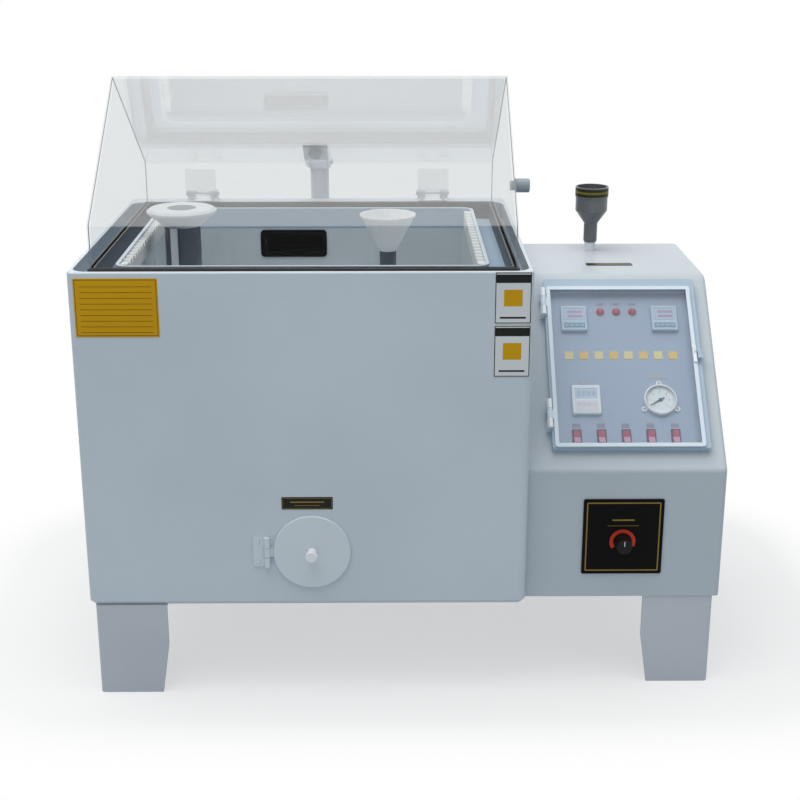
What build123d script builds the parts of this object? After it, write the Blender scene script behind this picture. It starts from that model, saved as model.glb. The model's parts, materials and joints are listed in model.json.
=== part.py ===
from build123d import *
import os
from math import atan2, cos, degrees, hypot, radians, sin, sqrt

# Salt-spray test chamber. Millimetres, +Z up, front faces -Y, origin under the middle of the object.

# Tank
tank_width = 750.0
tank_depth = 657.0
rim_height = 754.0
foot_height = 168.0
tank_wall = 6.0
tank_corner_radius = 14.0
tank_bottom_chamfer = 8.0
rim_depth = 40.0
rim_edge_round = 3.0
chamber_side_margin = 75.0
chamber_rear_margin = 107.0
chamber_height = 400.0
chamber_from_front = 50.0
chamber_corner_radius = 18.0
liner_wall = 5.0
liner_flange = 18.0

# Trough in the rim
trough_depth = 30.0
trough_corner_radius = 24.0
outer_lip = 7.0
inner_lip = 6.0
rear_land = 45.0

# Lid
lid_width = 688.0
lid_depth = 584.0
lid_from_front = 16.0
lid_shift = 5.0
lid_wall = 5.0
lid_front_skirt = 73.0
lid_rear_skirt = 84.0
ridge_from_lid_front = 288.0
ridge_above_rim = 279.0
lid_bend_radius = 8.0
seal_wall = 3.0
seal_above_rim = 3.0
seal_floor_gap = 0.3

# Lid hinges
hinge_spacing = 460.0
hinge_width = 60.0
hinge_leaf_thickness = 3.0
hinge_knuckle_radius = 8.0
hinge_pin_radius = 3.0
hinge_height = 15.0
hinge_from_back = 22.0
hinge_leaf_height = 55.0
hinge_side_gap = 0.5

# Lid lift cylinder
lift_angle = 60.0
lift_arm_radius = 100.0
lift_pin_radius = 6.0
lift_slot_clearance = 1.4
yoke_width = 36.0
yoke_depth = 46.0
yoke_height = 32.0
arm_plate = 5.0
arm_side_gap = 0.6
arm_eye_radius = 13.0
arm_base_length = 66.0
arm_base_thickness = 4.0
arm_base_from_kink = 6.0
lift_rod_radius = 6.0
lift_barrel_radius = 16.0
lift_barrel_wall = 3.0
lift_barrel_length = 190.0
lift_barrel_below_yoke = 6.0
lift_piston_length = 20.0
lift_cap_length = 16.0
sleeve_radius = 19.0
sleeve_wall = 2.4
sleeve_overlap = 25.0
clamp_height = 50.0
clamp_wall = 7.0
clamp_plate_width = 80.0
clamp_plate_thickness = 5.0
fixing_radius = 14.0
fixing_head = 7.0
fixing_chamfer = 4.0
fixing_bolt_radius = 4.0

# Plug in the right end panel of the lid
plug_radius = 11.5
plug_length = 24.0
plug_neck_radius = 8.0
plug_from_lid_front = 97.0
plug_above_rim = 119.0

# Chamber fittings
rail_thickness = 12.0
rail_height = 30.0
rail_end_margin = 20.0
rail_below_rim = 3.0
rail_pitch = 25.0
rail_notch_depth = 9.0
tower_from_chamber_left = 73.0
tower_from_chamber_front = 250.0
tower_radius = 32.0
tower_wall = 3.0
tower_top = 770.0
tower_foot_radius = 50.0
tower_foot_height = 34.0
tower_foot_chamfer = 4.0
cap_radius = 62.0
cap_height = 32.0
nozzle_radius = 5.0
collector_from_chamber_left = 440.0
collector_from_chamber_front = 250.0
collector_mouth_radius = 50.0
collector_rim_height = 790.0
collector_cone_height = 62.0
collector_stem_radius = 15.0
collector_wall = 2.0
collector_lip = 4.0
collector_socket_wall = 4.0
false_floor_height = 60.0
false_floor_thickness = 5.0
false_floor_gap = 2.0
false_floor_hole_radius = 6.0
false_floor_hole_pitch = 60.0
false_floor_leg_radius = 8.0
heater_radius = 6.0
heater_bend_radius = 70.0
heater_from_chamber_front = 125.0
heater_length = 400.0
heater_above_floor = 18.0
heater_bush_radius = 12.0
saddle_width = 16.0
feed_pipe_radius = 5.0
feed_pipe_spacing = 30.0
feed_pipe_above_floor = 17.0
vent_width = 118.0
vent_height = 42.0
vent_shift = -45.0
vent_below_rim = 70.0
vent_wall = 3.0
vent_frame = 6.0
vent_frame_thickness = 2.0
vent_corner_radius = 8.0
exhaust_radius = 25.0
exhaust_length = 45.0
exhaust_shift = -30.0
plenum_height = 60.0
plenum_drop = 11.0
plenum_gap = 4.0
spigot_neck = 0.5
spigot_start = 1.0
drain_radius = 17.0
drain_wall = 3.0
drain_below_tank = 40.0
drain_flange_radius = 30.0
drain_flange_thickness = 4.0
drain_plate_width = 60.0
insulation_gap = 1.0
bore_clearance = 0.3
running_clearance = 0.05

# Round cover on the tank front
cover_from_left = 384.7
cover_height = 269.0
cover_radius = 66.0
cover_thickness = 5.0
cover_gap = 0.3
cover_hole_radius = 55.0
cover_knob_radius = 10.5
cover_knob_length = 22.0
cover_shaft_radius = 4.0
cover_hinge_height = 54.0
cover_knuckle_radius = 5.0
cover_pin_radius = 2.0
cover_leaf_width = 24.0
cover_leaf_thickness = 2.0
cover_hinge_from_edge = 10.0

# Feet
foot_width = 123.0
foot_bottom_width = 109.0
foot_taper_share = 0.55
foot_plate = 4.0
foot_bend_radius = 7.0
foot_side_inset = 10.0
foot_face_inset = 2.0
foot_bolt_radius = 4.5
foot_flange = 36.0
foot_flange_setback = 14.0

# Control cabinet
cabinet_width = 341.0
cabinet_front_inset = 31.0
cabinet_fold_height = 402.0
cabinet_rise = 275.0
cabinet_back_from_front = 573.0
cabinet_wall = 4.0
cabinet_fold_radius = 12.0
cabinet_top_radius = 34.0
cabinet_edge_radius = 8.0

# Console frame and control panel, measured along the console face
frame_left = 44.0
frame_width = 270.0
frame_low = 35.0
frame_length = 336.0
frame_rail_left = 9.0
frame_rail_right = 14.0
frame_rail_bottom = 7.0
frame_rail_top = 22.0
frame_height = 13.0
frame_corner_radius = 5.0
panel_thickness = 2.5
panel_border = 4.0

# Panel door
door_overlap = 5.0
door_thickness = 4.0
door_rim = 7.0
door_window_thickness = 2.0
door_gap = 0.4
door_window_lip = 2.0
door_hinge_length = 54.0
door_hinge_low = 72.0
door_hinge_high = 295.0
door_knuckle_radius = 5.0
door_pin_radius = 1.5
door_axis_from_frame = 2.5
latch_height = 215.0
latch_length = 34.0
latch_width = 6.0
latch_thickness = 2.5
latch_grip = 4.0
latch_post_radius = 2.0
latch_post_depth = 2.0
keep_wall = 3.0
keep_reach = 14.0

# Instruments on the control panel
controller_width = 46.0
controller_length = 50.0
controller_depth = 70.0
controller_field_width = 37.7
controller_screen_length = 24.0
controller_screen_up = 8.0
controller_keys_length = 10.0
controller_keys_down = 15.0
controller_body = 42.0
bezel_height = 8.0
bezel_chamfer = 1.0
small_chamfer = 1.5
screen_recess = 1.0
controller_left_at = (96.0, 294.0)
controller_right_at = (257.0, 294.0)
timer_at = (108.0, 132.0)
timer_width = 50.0
timer_length = 56.0
timer_depth = 60.0
timer_screen_width = 40.0
timer_screen_length = 20.2
timer_screen_up = 11.2
timer_body = 44.0
lamp_radius = 6.0
lamp_bezel_radius = 7.5
lamp_first = 144.5
lamp_pitch = 28.7
lamp_height = 310.0
lamp_depth = 25.0
lamp_dome = 6.0
lamp_flange = 1.5
lamp_chamfer = 3.0
lamp_count = 3
rocker_count = 5
rocker_first = 88.0
rocker_pitch = 42.5
rocker_height = 61.0
rocker_width = 11.0
rocker_length = 24.0
rocker_tilt = 8.0
rocker_frame_wall = 2.2
rocker_frame_height = 2.2
rocker_depth = 16.0
rocker_gap = 0.4
rocker_rise = 3.4
rocker_dip = 1.4
rocker_keel = 5.0
rocker_pivot_depth = 2.0
rocker_pin_radius = 1.0
rocker_pin_reach = 1.2
gauge_at = (236.5, 131.7)
gauge_radius = 29.0
gauge_height = 9.0
gauge_wall = 3.0
gauge_depth = 26.0
gauge_back_radius = 22.0
gauge_lug_radius = 5.0
gauge_lug_thickness = 2.5
gauge_lug_from_centre = 33.0
gauge_lug_neck = 8.0
gauge_dial_thickness = 1.0
gauge_lens_thickness = 1.5
needle_length = 22.0
needle_tail = 8.0
needle_tail_half = 1.0
needle_root_half = 1.6
needle_tip_half = 0.3
needle_above_dial = 1.0
needle_post_length = 2.2
needle_hub_radius = 3.0
needle_thickness = 0.8
needle_post_radius = 0.8
needle_rest_angle = -60.0

# Regulator low on the cabinet front
regulator_from_cabinet_left = 167.0
regulator_height = 281.0
regulator_plate_width = 138.0
regulator_plate_thickness = 2.5
regulator_plate_radius = 3.0
regulator_knob_drop = 9.0
regulator_knob_radius = 15.0
knob_top_round = 2.0
regulator_knob_length = 24.0
regulator_stem_radius = 5.0
regulator_stem_length = 30.0
regulator_body_radius = 26.0
regulator_body_length = 70.0
regulator_body_chamfer = 6.0
knob_rib_count = 16
knob_rib_radius = 1.2

# Filling funnel
funnel_from_cabinet_left = 158.5
funnel_from_front = 514.0
funnel_mouth_radius = 30.5
funnel_top = 802.0
funnel_cup_bottom = 756.0
funnel_cone_bottom = 731.0
funnel_stem_radius = 13.0
funnel_stem_bottom = 695.0
funnel_wall = 2.0
funnel_band_height = 20.0
funnel_band_radius = 31.5
fitting_radius = 10.8
fitting_spigot_radius = 7.0
fitting_spigot_length = 26.0
fitting_bore = 4.5

# Inside the cabinet
saturator_radius = 78.0
saturator_height = 370.0
saturator_dome = 40.0
saturator_dish_steps = 3
saturator_from_funnel = 34.0
saturator_neck_radius = 14.0
saturator_neck = 30.0
saturator_foot_height = 14.0
brine_width = 130.0
brine_depth = 190.0
brine_below_pipes = 4.0
brine_from_cabinet_left = 12.0
brine_from_front = 130.0
brine_corner_radius = 16.0
brine_cap_radius = 30.0
brine_cap_height = 14.0
valve_size = 32.0
valve_coil_height = 38.0
valve_pitch = 62.0
valve_count = 3

# Back of the cabinet
back_cover_width = 281.0
back_cover_height = 430.0
back_cover_thickness = 2.0
back_cover_from_underside = 30.0
back_cover_edge = 14.0
louvre_count = 7
louvre_width = 90.0
louvre_rise = 5.0
louvre_height = 12.0
louvre_pitch = 26.0
louvre_columns = 2
gland_radius = 13.0
gland_length = 22.0
gland_bore = 5.0
air_inlet_radius = 5.0
air_inlet_length = 26.0
inlet_from_cabinet_left = 40.0
inlet_rise = 20.0
inlet_spacing = 40.0

# Derived places
overall_width = tank_width + cabinet_width
left_x = -overall_width / 2
tank_x = left_x + tank_width / 2
tank_right_x = left_x + tank_width
right_x = overall_width / 2
half_lift = radians(lift_angle / 2)
lift_behind_hinge = lift_arm_radius * (1 + cos(half_lift)) / 2
front_reach = cover_gap + cover_thickness + cover_knob_length
rear_reach = lift_behind_hinge - hinge_from_back + yoke_depth / 2
overall_depth = front_reach + tank_depth + rear_reach
front_y = front_reach - overall_depth / 2
back_y = front_y + tank_depth
lift_y = back_y - hinge_from_back + lift_behind_hinge
trough_floor_z = rim_height - trough_depth
deck_z = rim_height - rim_depth
chamber_width = tank_width - 2 * chamber_side_margin
chamber_depth = tank_depth - chamber_from_front - chamber_rear_margin
rail_length = chamber_depth - 2 * rail_end_margin
chamber_left_x = tank_x - chamber_width / 2
chamber_right_x = tank_x + chamber_width / 2
chamber_front_y = front_y + chamber_from_front
chamber_back_y = chamber_front_y + chamber_depth
chamber_floor_z = rim_height - chamber_height
trough_back_y = back_y - rear_land
lid_x = tank_x + lid_shift
lid_front_y = front_y + lid_from_front
lid_back_y = lid_front_y + lid_depth
lid_low_z = trough_floor_z + seal_floor_gap + seal_wall
front_kink_z = rim_height + lid_front_skirt
rear_kink_z = rim_height + lid_rear_skirt
ridge_y = lid_front_y + ridge_from_lid_front
ridge_z = rim_height + ridge_above_rim
hinge_y = back_y - hinge_from_back
hinge_z = rim_height + hinge_height
lift_pin_y = hinge_y + lift_arm_radius * cos(half_lift)
lift_pin_z = hinge_z + lift_arm_radius * sin(half_lift)
lift_stroke = 2 * lift_arm_radius * sin(half_lift)
barrel_top_z = lift_pin_z - yoke_height / 2 - lift_stroke - lift_barrel_below_yoke
barrel_bottom_z = barrel_top_z - lift_barrel_length
tower_x = chamber_left_x + tower_from_chamber_left
tower_y = chamber_front_y + tower_from_chamber_front
collector_x = chamber_left_x + collector_from_chamber_left
collector_y = chamber_front_y + collector_from_chamber_front
false_floor_z = chamber_floor_z + false_floor_height
vent_x = tank_x + vent_shift
vent_z = rim_height - vent_below_rim
exhaust_x = vent_x + exhaust_shift
exhaust_z = vent_z - plenum_drop
cover_x = left_x + cover_from_left
cover_hinge_x = cover_x - cover_radius - cover_hinge_from_edge
cover_hinge_y = front_y - cover_knuckle_radius - cover_gap
cabinet_front_y = front_y + cabinet_front_inset
cabinet_back_y = front_y + cabinet_back_from_front
cabinet_inner_x = tank_right_x + cabinet_wall
regulator_x = tank_right_x + regulator_from_cabinet_left
regulator_knob_z = regulator_height - regulator_knob_drop
funnel_x = tank_right_x + funnel_from_cabinet_left
funnel_y = front_y + funnel_from_front
cabinet_floor_z = foot_height + cabinet_wall
feed_pipe_low_z = chamber_floor_z + feed_pipe_above_floor - feed_pipe_radius
brine_height = feed_pipe_low_z - brine_below_pipes - cabinet_floor_z
cabinet_top_height = cabinet_fold_height + cabinet_rise
rise = cabinet_rise
run = rise
console_angle = degrees(atan2(rise, run))
door_left = frame_left + frame_rail_left - door_overlap
door_right = frame_left + frame_width - frame_rail_right + door_overlap
door_low = frame_low + frame_rail_bottom - door_overlap
door_high = frame_low + frame_length - frame_rail_top + door_overlap
door_hinge_u = frame_left - door_axis_from_frame
door_hinge_n = frame_height + door_knuckle_radius + bore_clearance
latch_u = door_right - door_rim / 2
louvre_zone = back_cover_width / louvre_columns


def block(x0, x1, y0, y1, z0, z1):
    """A box between two corners."""
    place = Pos((x0 + x1) / 2, (y0 + y1) / 2, (z0 + z1) / 2)
    return place * Box(x1 - x0, y1 - y0, z1 - z0)


def rounded_block(x0, x1, y0, y1, z0, z1, radius):
    """A box with rounded upright edges."""
    outline = Pos((x0 + x1) / 2, (y0 + y1) / 2, z0) * RectangleRounded(x1 - x0, y1 - y0, radius)
    return extrude(outline, z1 - z0)


def post(radius, x, y, z0, z1):
    """A round bar along Z."""
    return Pos(x, y, (z0 + z1) / 2) * Cylinder(radius, z1 - z0)


def bar_x(radius, x0, x1, y, z):
    """A round bar along X."""
    return Pos((x0 + x1) / 2, y, z) * Rot(0, 90, 0) * Cylinder(radius, x1 - x0)


def bar_y(radius, x, y0, y1, z):
    """A round bar along Y."""
    return Pos(x, (y0 + y1) / 2, z) * Rot(90, 0, 0) * Cylinder(radius, y1 - y0)


def slab_yz(points, x0, x1):
    """A plate cut from a Y-Z outline, from x0 to x1."""
    outline = Plane(origin=(x0, 0, 0), x_dir=(0, 1, 0), z_dir=(1, 0, 0)) * Polygon(*points, align=None)
    return extrude(outline, x1 - x0, dir=(1, 0, 0))


def turned(points, x, y):
    """A body of revolution about Z from radius-height points."""
    profile = Plane.XZ * Polygon(*points, align=None)
    return Pos(x, y, 0) * revolve(profile, Axis.Z)


def on_console(u, w, n=0.0):
    """A place on the console face: u to the right, w up the slope, n out of the face."""
    turn = radians(console_angle)
    up = (0, cos(turn), sin(turn))
    out = (0, -sin(turn), cos(turn))
    origin = (
        tank_right_x + u,
        cabinet_front_y + w * up[1] + n * out[1],
        cabinet_fold_height + w * up[2] + n * out[2],
    )
    return Location(Plane(origin=origin, x_dir=(1, 0, 0), z_dir=out))


def console_plate(u0, u1, w0, w1, n0, n1, radius=0.0):
    """A plate lying on the console face."""
    width = u1 - u0
    length = w1 - w0
    outline = RectangleRounded(width, length, radius) if radius else Rectangle(width, length)
    return on_console((u0 + u1) / 2, (w0 + w1) / 2, n0) * extrude(outline, n1 - n0)


def save(shape, name):
    """Write one node, as a single solid or a group of solids."""
    solids = shape.solids()
    whole = solids[0] if len(solids) == 1 else Compound(children=solids)
    export_step(whole, f"parts/{name}.step")


def inside(shape, *regions):
    """The solids of a shape that lie in every one of the regions."""
    for region in regions:
        shape = shape & region
    return list(shape.solids()) if shape else []


def grown(plan, by):
    """A plan of x0, x1, y0, y1 made larger on every side."""
    x0, x1, y0, y1 = plan
    return (x0 - by, x1 + by, y0 - by, y1 + by)


def ring_strips(ring, outer, hole, radius, z0, z1):
    """A rounded ring cut into its front and back strips, and its sides with their four corners."""
    ox0, ox1, oy0, oy1 = outer
    hx0, hx1, hy0, hy1 = hole
    strips = inside(ring, block(ox0, ox1, oy0, hy0, z0, z1))
    strips += inside(ring, block(ox0, ox1, hy1, oy1, z0, z1))
    for x0, x1 in ((ox0, hx0 + radius), (hx1 - radius, ox1)):
        for y0, y1 in ((hy0, hy0 + radius), (hy0 + radius, hy1 - radius), (hy1 - radius, hy1)):
            strips += inside(ring, block(x0, x1, y0, y1, z0, z1))
    return strips


def sheet_round_drain(body, plan, low, high):
    """A flat sheet cut into four strips round the small square plate with the drain's hole."""
    x0, x1, y0, y1 = plan
    half = drain_plate_width / 2
    left, right = tank_x - half, tank_x + half
    front, back = tower_y - half, tower_y + half
    parts = inside(body, block(x0, left, y0, y1, low, high))
    parts += inside(body, block(right, x1, y0, y1, low, high))
    parts += inside(body, block(left, right, y0, front, low, high))
    parts += inside(body, block(left, right, back, y1, low, high))
    return parts + inside(body, block(left, right, front, back, low, high))


def tank_body():
    """The whole outer skin with the rim, its trough, the cover hole and the ways through for pipes."""
    shell = block(left_x, tank_right_x, front_y, back_y, foot_height, rim_height)
    shell = fillet(shell.edges().filter_by(Axis.Z), tank_corner_radius)
    shell = chamfer(shell.faces().sort_by(Axis.Z)[0].edges(), tank_bottom_chamfer)
    shell = fillet(shell.faces().sort_by(Axis.Z)[-1].edges(), rim_edge_round)
    shell -= rounded_block(
        left_x + tank_wall, tank_right_x - tank_wall,
        front_y + tank_wall, back_y - tank_wall,
        foot_height + tank_wall, deck_z, tank_corner_radius - tank_wall,
    )
    shell -= rounded_block(
        chamber_left_x, chamber_right_x, chamber_front_y, chamber_back_y,
        deck_z - 1, rim_height + 1, chamber_corner_radius,
    )
    trough = rounded_block(
        left_x + outer_lip, tank_right_x - outer_lip, front_y + outer_lip, trough_back_y,
        trough_floor_z, rim_height + 1, trough_corner_radius,
    )
    trough -= rounded_block(
        chamber_left_x - inner_lip, chamber_right_x + inner_lip,
        chamber_front_y - inner_lip, chamber_back_y + inner_lip,
        trough_floor_z, rim_height + 1, chamber_corner_radius + inner_lip,
    )
    shell -= trough
    shell -= bar_y(cover_hole_radius, cover_x, front_y - 1, front_y + tank_wall + 1, cover_height)
    shell -= bar_y(
        exhaust_radius + bore_clearance, exhaust_x, back_y - tank_wall - 1, back_y + 1, exhaust_z
    )
    shell -= post(
        drain_radius + bore_clearance, tank_x, tower_y, foot_height - 1, foot_height + tank_wall + 1
    )
    for y in feed_pipe_places():
        shell -= bar_x(
            feed_pipe_radius + bore_clearance,
            tank_right_x - tank_wall - 1, tank_right_x + 1, y, chamber_floor_z + feed_pipe_above_floor,
        )
    return shell


def tank_shell():
    """The skin as it is welded: five sheets, the trough's floor, its outer lip and its inner lip."""
    body = tank_body()
    left, right = left_x, tank_right_x
    front, back = front_y + tank_wall, back_y - tank_wall
    side = tank_corner_radius
    low, high = foot_height, deck_z
    parts = inside(body, block(left, right, front_y, front, low, high))
    parts += inside(body, block(left, right, back, back_y, low, high))
    parts += inside(body, block(left, left + side, front, back, low, high))
    parts += inside(body, block(right - side, right, front, back, low, high))
    bottom = (left + side, right - side, front, back)
    parts += sheet_round_drain(body, bottom, low, low + tank_wall)
    plan = (left, right, front_y, back_y)
    chamber = (chamber_left_x, chamber_right_x, chamber_front_y, chamber_back_y)
    parts += ring_strips(body, plan, chamber, chamber_corner_radius, deck_z, trough_floor_z)
    lips = inside(body, block(left, right, front_y, back_y, trough_floor_z, rim_height))
    inner, outer = sorted(lips, key=lambda lip: lip.bounding_box().size.X)
    trough = (left + outer_lip, right - outer_lip, front_y + outer_lip, trough_back_y)
    parts += ring_strips(outer, plan, trough, trough_corner_radius, trough_floor_z, rim_height)
    return Compound(children=parts + ring_strips(
        inner, grown(chamber, inner_lip), chamber, chamber_corner_radius, trough_floor_z, rim_height
    ))


def feed_pipe_places():
    """The two feed pipes lie side by side, in line with the tower."""
    return [tower_y - feed_pipe_spacing / 2, tower_y + feed_pipe_spacing / 2]


def heater_legs():
    """The two straight legs of the heater lie in front of the tower."""
    middle = chamber_front_y + heater_from_chamber_front
    return [middle - heater_bend_radius, middle + heater_bend_radius]


def liner_body():
    """Open-topped chamber with a flange under the rim and holes for vent, drain, heater and pipes."""
    outer = rounded_block(
        chamber_left_x - liner_wall, chamber_right_x + liner_wall,
        chamber_front_y - liner_wall, chamber_back_y + liner_wall,
        chamber_floor_z - liner_wall, deck_z, chamber_corner_radius + liner_wall,
    )
    flange = rounded_block(
        chamber_left_x - liner_flange, chamber_right_x + liner_flange,
        chamber_front_y - liner_flange, chamber_back_y + liner_flange,
        deck_z - liner_wall, deck_z, chamber_corner_radius + liner_flange,
    )
    inner = rounded_block(
        chamber_left_x, chamber_right_x, chamber_front_y, chamber_back_y,
        chamber_floor_z, deck_z + 1, chamber_corner_radius,
    )
    liner = outer + flange - inner
    vent = Pos(vent_x, chamber_back_y - 1, vent_z) * Rot(-90, 0, 0) * extrude(
        RectangleRounded(
            vent_width + 2 * bore_clearance, vent_height + 2 * bore_clearance, vent_corner_radius
        ),
        liner_wall + 2,
    )
    liner -= vent
    liner -= post(
        drain_radius + bore_clearance, tank_x, tower_y,
        chamber_floor_z - liner_wall - 1, chamber_floor_z + 1,
    )
    for y in feed_pipe_places():
        liner -= bar_x(
            feed_pipe_radius + bore_clearance, chamber_right_x - 1, chamber_right_x + liner_wall + 1,
            y, chamber_floor_z + feed_pipe_above_floor,
        )
    for y in heater_legs():
        liner -= bar_x(
            heater_radius + bore_clearance, chamber_right_x - 1, chamber_right_x + liner_wall + 1,
            y, chamber_floor_z + heater_above_floor,
        )
    return liner


def tank_liner():
    """The chamber as it is welded: its bottom, its walls and its flange."""
    body = liner_body()
    chamber = (chamber_left_x, chamber_right_x, chamber_front_y, chamber_back_y)
    walls = grown(chamber, liner_wall)
    flange = grown(chamber, liner_flange)
    neck = deck_z - liner_wall
    parts = sheet_round_drain(body, walls, chamber_floor_z - liner_wall, chamber_floor_z)
    parts += ring_strips(body, walls, chamber, chamber_corner_radius, chamber_floor_z, neck)
    return Compound(children=parts + ring_strips(
        body, flange, chamber, chamber_corner_radius, neck, deck_z
    ))


def insulation():
    """Slabs that fill the space between the liner and the outer skin on three sides."""
    low = chamber_floor_z
    high = deck_z - liner_wall - insulation_gap
    front = block(
        chamber_left_x, chamber_right_x,
        front_y + tank_wall, chamber_front_y - liner_wall - insulation_gap, low, high,
    )
    left = block(
        left_x + tank_wall, chamber_left_x - liner_wall - insulation_gap,
        chamber_front_y, chamber_back_y, low, high,
    )
    right = block(
        chamber_right_x + liner_wall + insulation_gap, tank_right_x - tank_wall,
        tower_y + feed_pipe_spacing, chamber_back_y, low, high,
    )
    return Compound(children=[front, left, right])


def notched_rail(x0, x1):
    """Rack with V notches along its top."""
    top = rim_height - rail_below_rim
    middle = (chamber_front_y + chamber_back_y) / 2
    rail = block(x0, x1, middle - rail_length / 2, middle + rail_length / 2, top - rail_height, top)
    count = int(rail_length // rail_pitch) - 1
    first = middle - rail_pitch * (count - 1) / 2
    notches = [
        slab_yz(
            [
                (first + i * rail_pitch - rail_notch_depth, top + 1),
                (first + i * rail_pitch + rail_notch_depth, top + 1),
                (first + i * rail_pitch, top - rail_notch_depth),
            ],
            x0 - 1, x1 + 1,
        )
        for i in range(count)
    ]
    return rail - notches


def notched_rails():
    """The two racks that carry the specimens, one on each side wall."""
    left = notched_rail(chamber_left_x, chamber_left_x + rail_thickness)
    right = notched_rail(chamber_right_x - rail_thickness, chamber_right_x)
    return Compound(children=[left.solid(), right.solid()])


def false_floor():
    """Perforated plate on four legs, with clear holes for the tower and the collector."""
    z = false_floor_z
    plate = rounded_block(
        chamber_left_x + false_floor_gap, chamber_right_x - false_floor_gap,
        chamber_front_y + false_floor_gap, chamber_back_y - false_floor_gap,
        z, z + false_floor_thickness, chamber_corner_radius,
    )
    plate -= post(tower_radius + 2, tower_x, tower_y, z - 1, z + false_floor_thickness + 1)
    columns = int(chamber_width // false_floor_hole_pitch) - 2
    rows = int(chamber_depth // false_floor_hole_pitch) - 2
    holes = []
    for i in range(columns):
        for j in range(rows):
            x = tank_x + (i - (columns - 1) / 2) * false_floor_hole_pitch
            y = (chamber_front_y + chamber_back_y) / 2 + (j - (rows - 1) / 2) * false_floor_hole_pitch
            clear_of_tower = hypot(x - tower_x, y - tower_y) > tower_radius + false_floor_hole_pitch / 2
            clear_of_cup = hypot(x - collector_x, y - collector_y) > false_floor_hole_pitch / 2
            if clear_of_tower and clear_of_cup:
                holes.append(post(false_floor_hole_radius, x, y, z - 1, z + false_floor_thickness + 1))
    plate -= holes
    for x in (chamber_left_x + false_floor_hole_pitch / 2, chamber_right_x - false_floor_hole_pitch / 2):
        for y in (
            chamber_front_y + false_floor_hole_pitch / 2, chamber_back_y - false_floor_hole_pitch / 2
        ):
            plate += post(false_floor_leg_radius, x, y, chamber_floor_z, z)
    return plate


def heater():
    """Hairpin tube heater that enters through the right wall and rests on two saddles."""
    low_y, high_y = heater_legs()
    z = chamber_floor_z + heater_above_floor
    end_x = chamber_right_x + liner_wall + heater_bush_radius
    bend_x = chamber_right_x - heater_length
    path = (
        Line((end_x, low_y, z), (bend_x, low_y, z))
        + ThreePointArc(
            (bend_x, low_y, z),
            (bend_x - heater_bend_radius, (low_y + high_y) / 2, z),
            (bend_x, high_y, z),
        )
        + Line((bend_x, high_y, z), (end_x, high_y, z))
    )
    section = Plane(origin=(end_x, low_y, z), z_dir=(-1, 0, 0)) * Circle(heater_radius)
    tube = sweep(section, path=path)
    for y in (low_y, high_y):
        tube += bar_x(
            heater_bush_radius, chamber_right_x - heater_bush_radius, chamber_right_x, y, z
        )
    for x in (bend_x, chamber_right_x - heater_length / 3):
        for y in (low_y, high_y):
            tube += block(
                x - saddle_width / 2, x + saddle_width / 2,
                y - heater_radius, y + heater_radius, chamber_floor_z, z,
            )
    return tube


def feed_pipes():
    """Air and brine pipes from the cabinet to the foot of the tower."""
    z = chamber_floor_z + feed_pipe_above_floor
    start = tower_x + tower_foot_radius
    end = cabinet_inner_x + tower_foot_height
    pipes = [bar_x(feed_pipe_radius, start, end, y, z) for y in feed_pipe_places()]
    return Compound(children=pipes)


def tower_foot():
    """Round brine cup that holds the tower; the two feed pipes butt against it."""
    z = chamber_floor_z
    foot = post(tower_foot_radius, tower_x, tower_y, z, z + tower_foot_height)
    foot = chamfer(foot.faces().sort_by(Axis.Z)[-1].edges(), tower_foot_chamfer)
    foot -= post(
        tower_radius + bore_clearance, tower_x, tower_y,
        z + tower_foot_height / 2, z + tower_foot_height + 1,
    )
    flat = tower_foot_radius - sqrt(tower_foot_radius**2 - feed_pipe_spacing**2)
    foot += block(
        tower_x + tower_foot_radius / 2, tower_x + tower_foot_radius,
        tower_y - feed_pipe_spacing, tower_y + feed_pipe_spacing, z, z + tower_foot_height - flat,
    )
    foot -= post(
        tower_radius + bore_clearance, tower_x, tower_y,
        z + tower_foot_height / 2, z + tower_foot_height + 1,
    )
    return foot


def tower_tube():
    """Upright spray tube with slots near its foot."""
    z0 = chamber_floor_z + tower_foot_height / 2
    tube = post(tower_radius, tower_x, tower_y, z0, tower_top)
    tube -= post(tower_radius - tower_wall, tower_x, tower_y, z0 - 1, tower_top + 1)
    slot_z = chamber_floor_z + tower_foot_height + tower_radius / 2
    tube -= block(
        tower_x - tower_radius - 1, tower_x + tower_radius + 1,
        tower_y - tower_radius / 4, tower_y + tower_radius / 4,
        slot_z - tower_radius / 4, slot_z + tower_radius / 4,
    )
    return tube


def tower_cap():
    """Flared cap that plugs into the top of the tube and can be lifted off."""
    neck = tower_radius - tower_wall - bore_clearance
    top = tower_top + cap_height
    drop = cap_height / 2
    points = [
        (neck - tower_wall, tower_top - drop), (neck, tower_top - drop), (neck, tower_top + 0.5),
        (tower_radius + 1, tower_top + 0.5), (cap_radius, top - drop / 2), (cap_radius, top - 4),
        (cap_radius - 6, top), (neck - tower_wall, top),
    ]
    return turned(points, tower_x, tower_y)


def spray_nozzle():
    """Thin pipe inside the tower with the nozzle head at its top."""
    z0 = chamber_floor_z + tower_foot_height / 2
    head = nozzle_radius * 2
    points = [
        (0, z0), (head, z0), (head, z0 + head), (nozzle_radius, z0 + 2 * head),
        (nozzle_radius, tower_top - 2 * head), (head, tower_top - head), (head, tower_top),
        (nozzle_radius / 2, tower_top + nozzle_radius), (0, tower_top + nozzle_radius),
    ]
    return turned(points, tower_x, tower_y)


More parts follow.
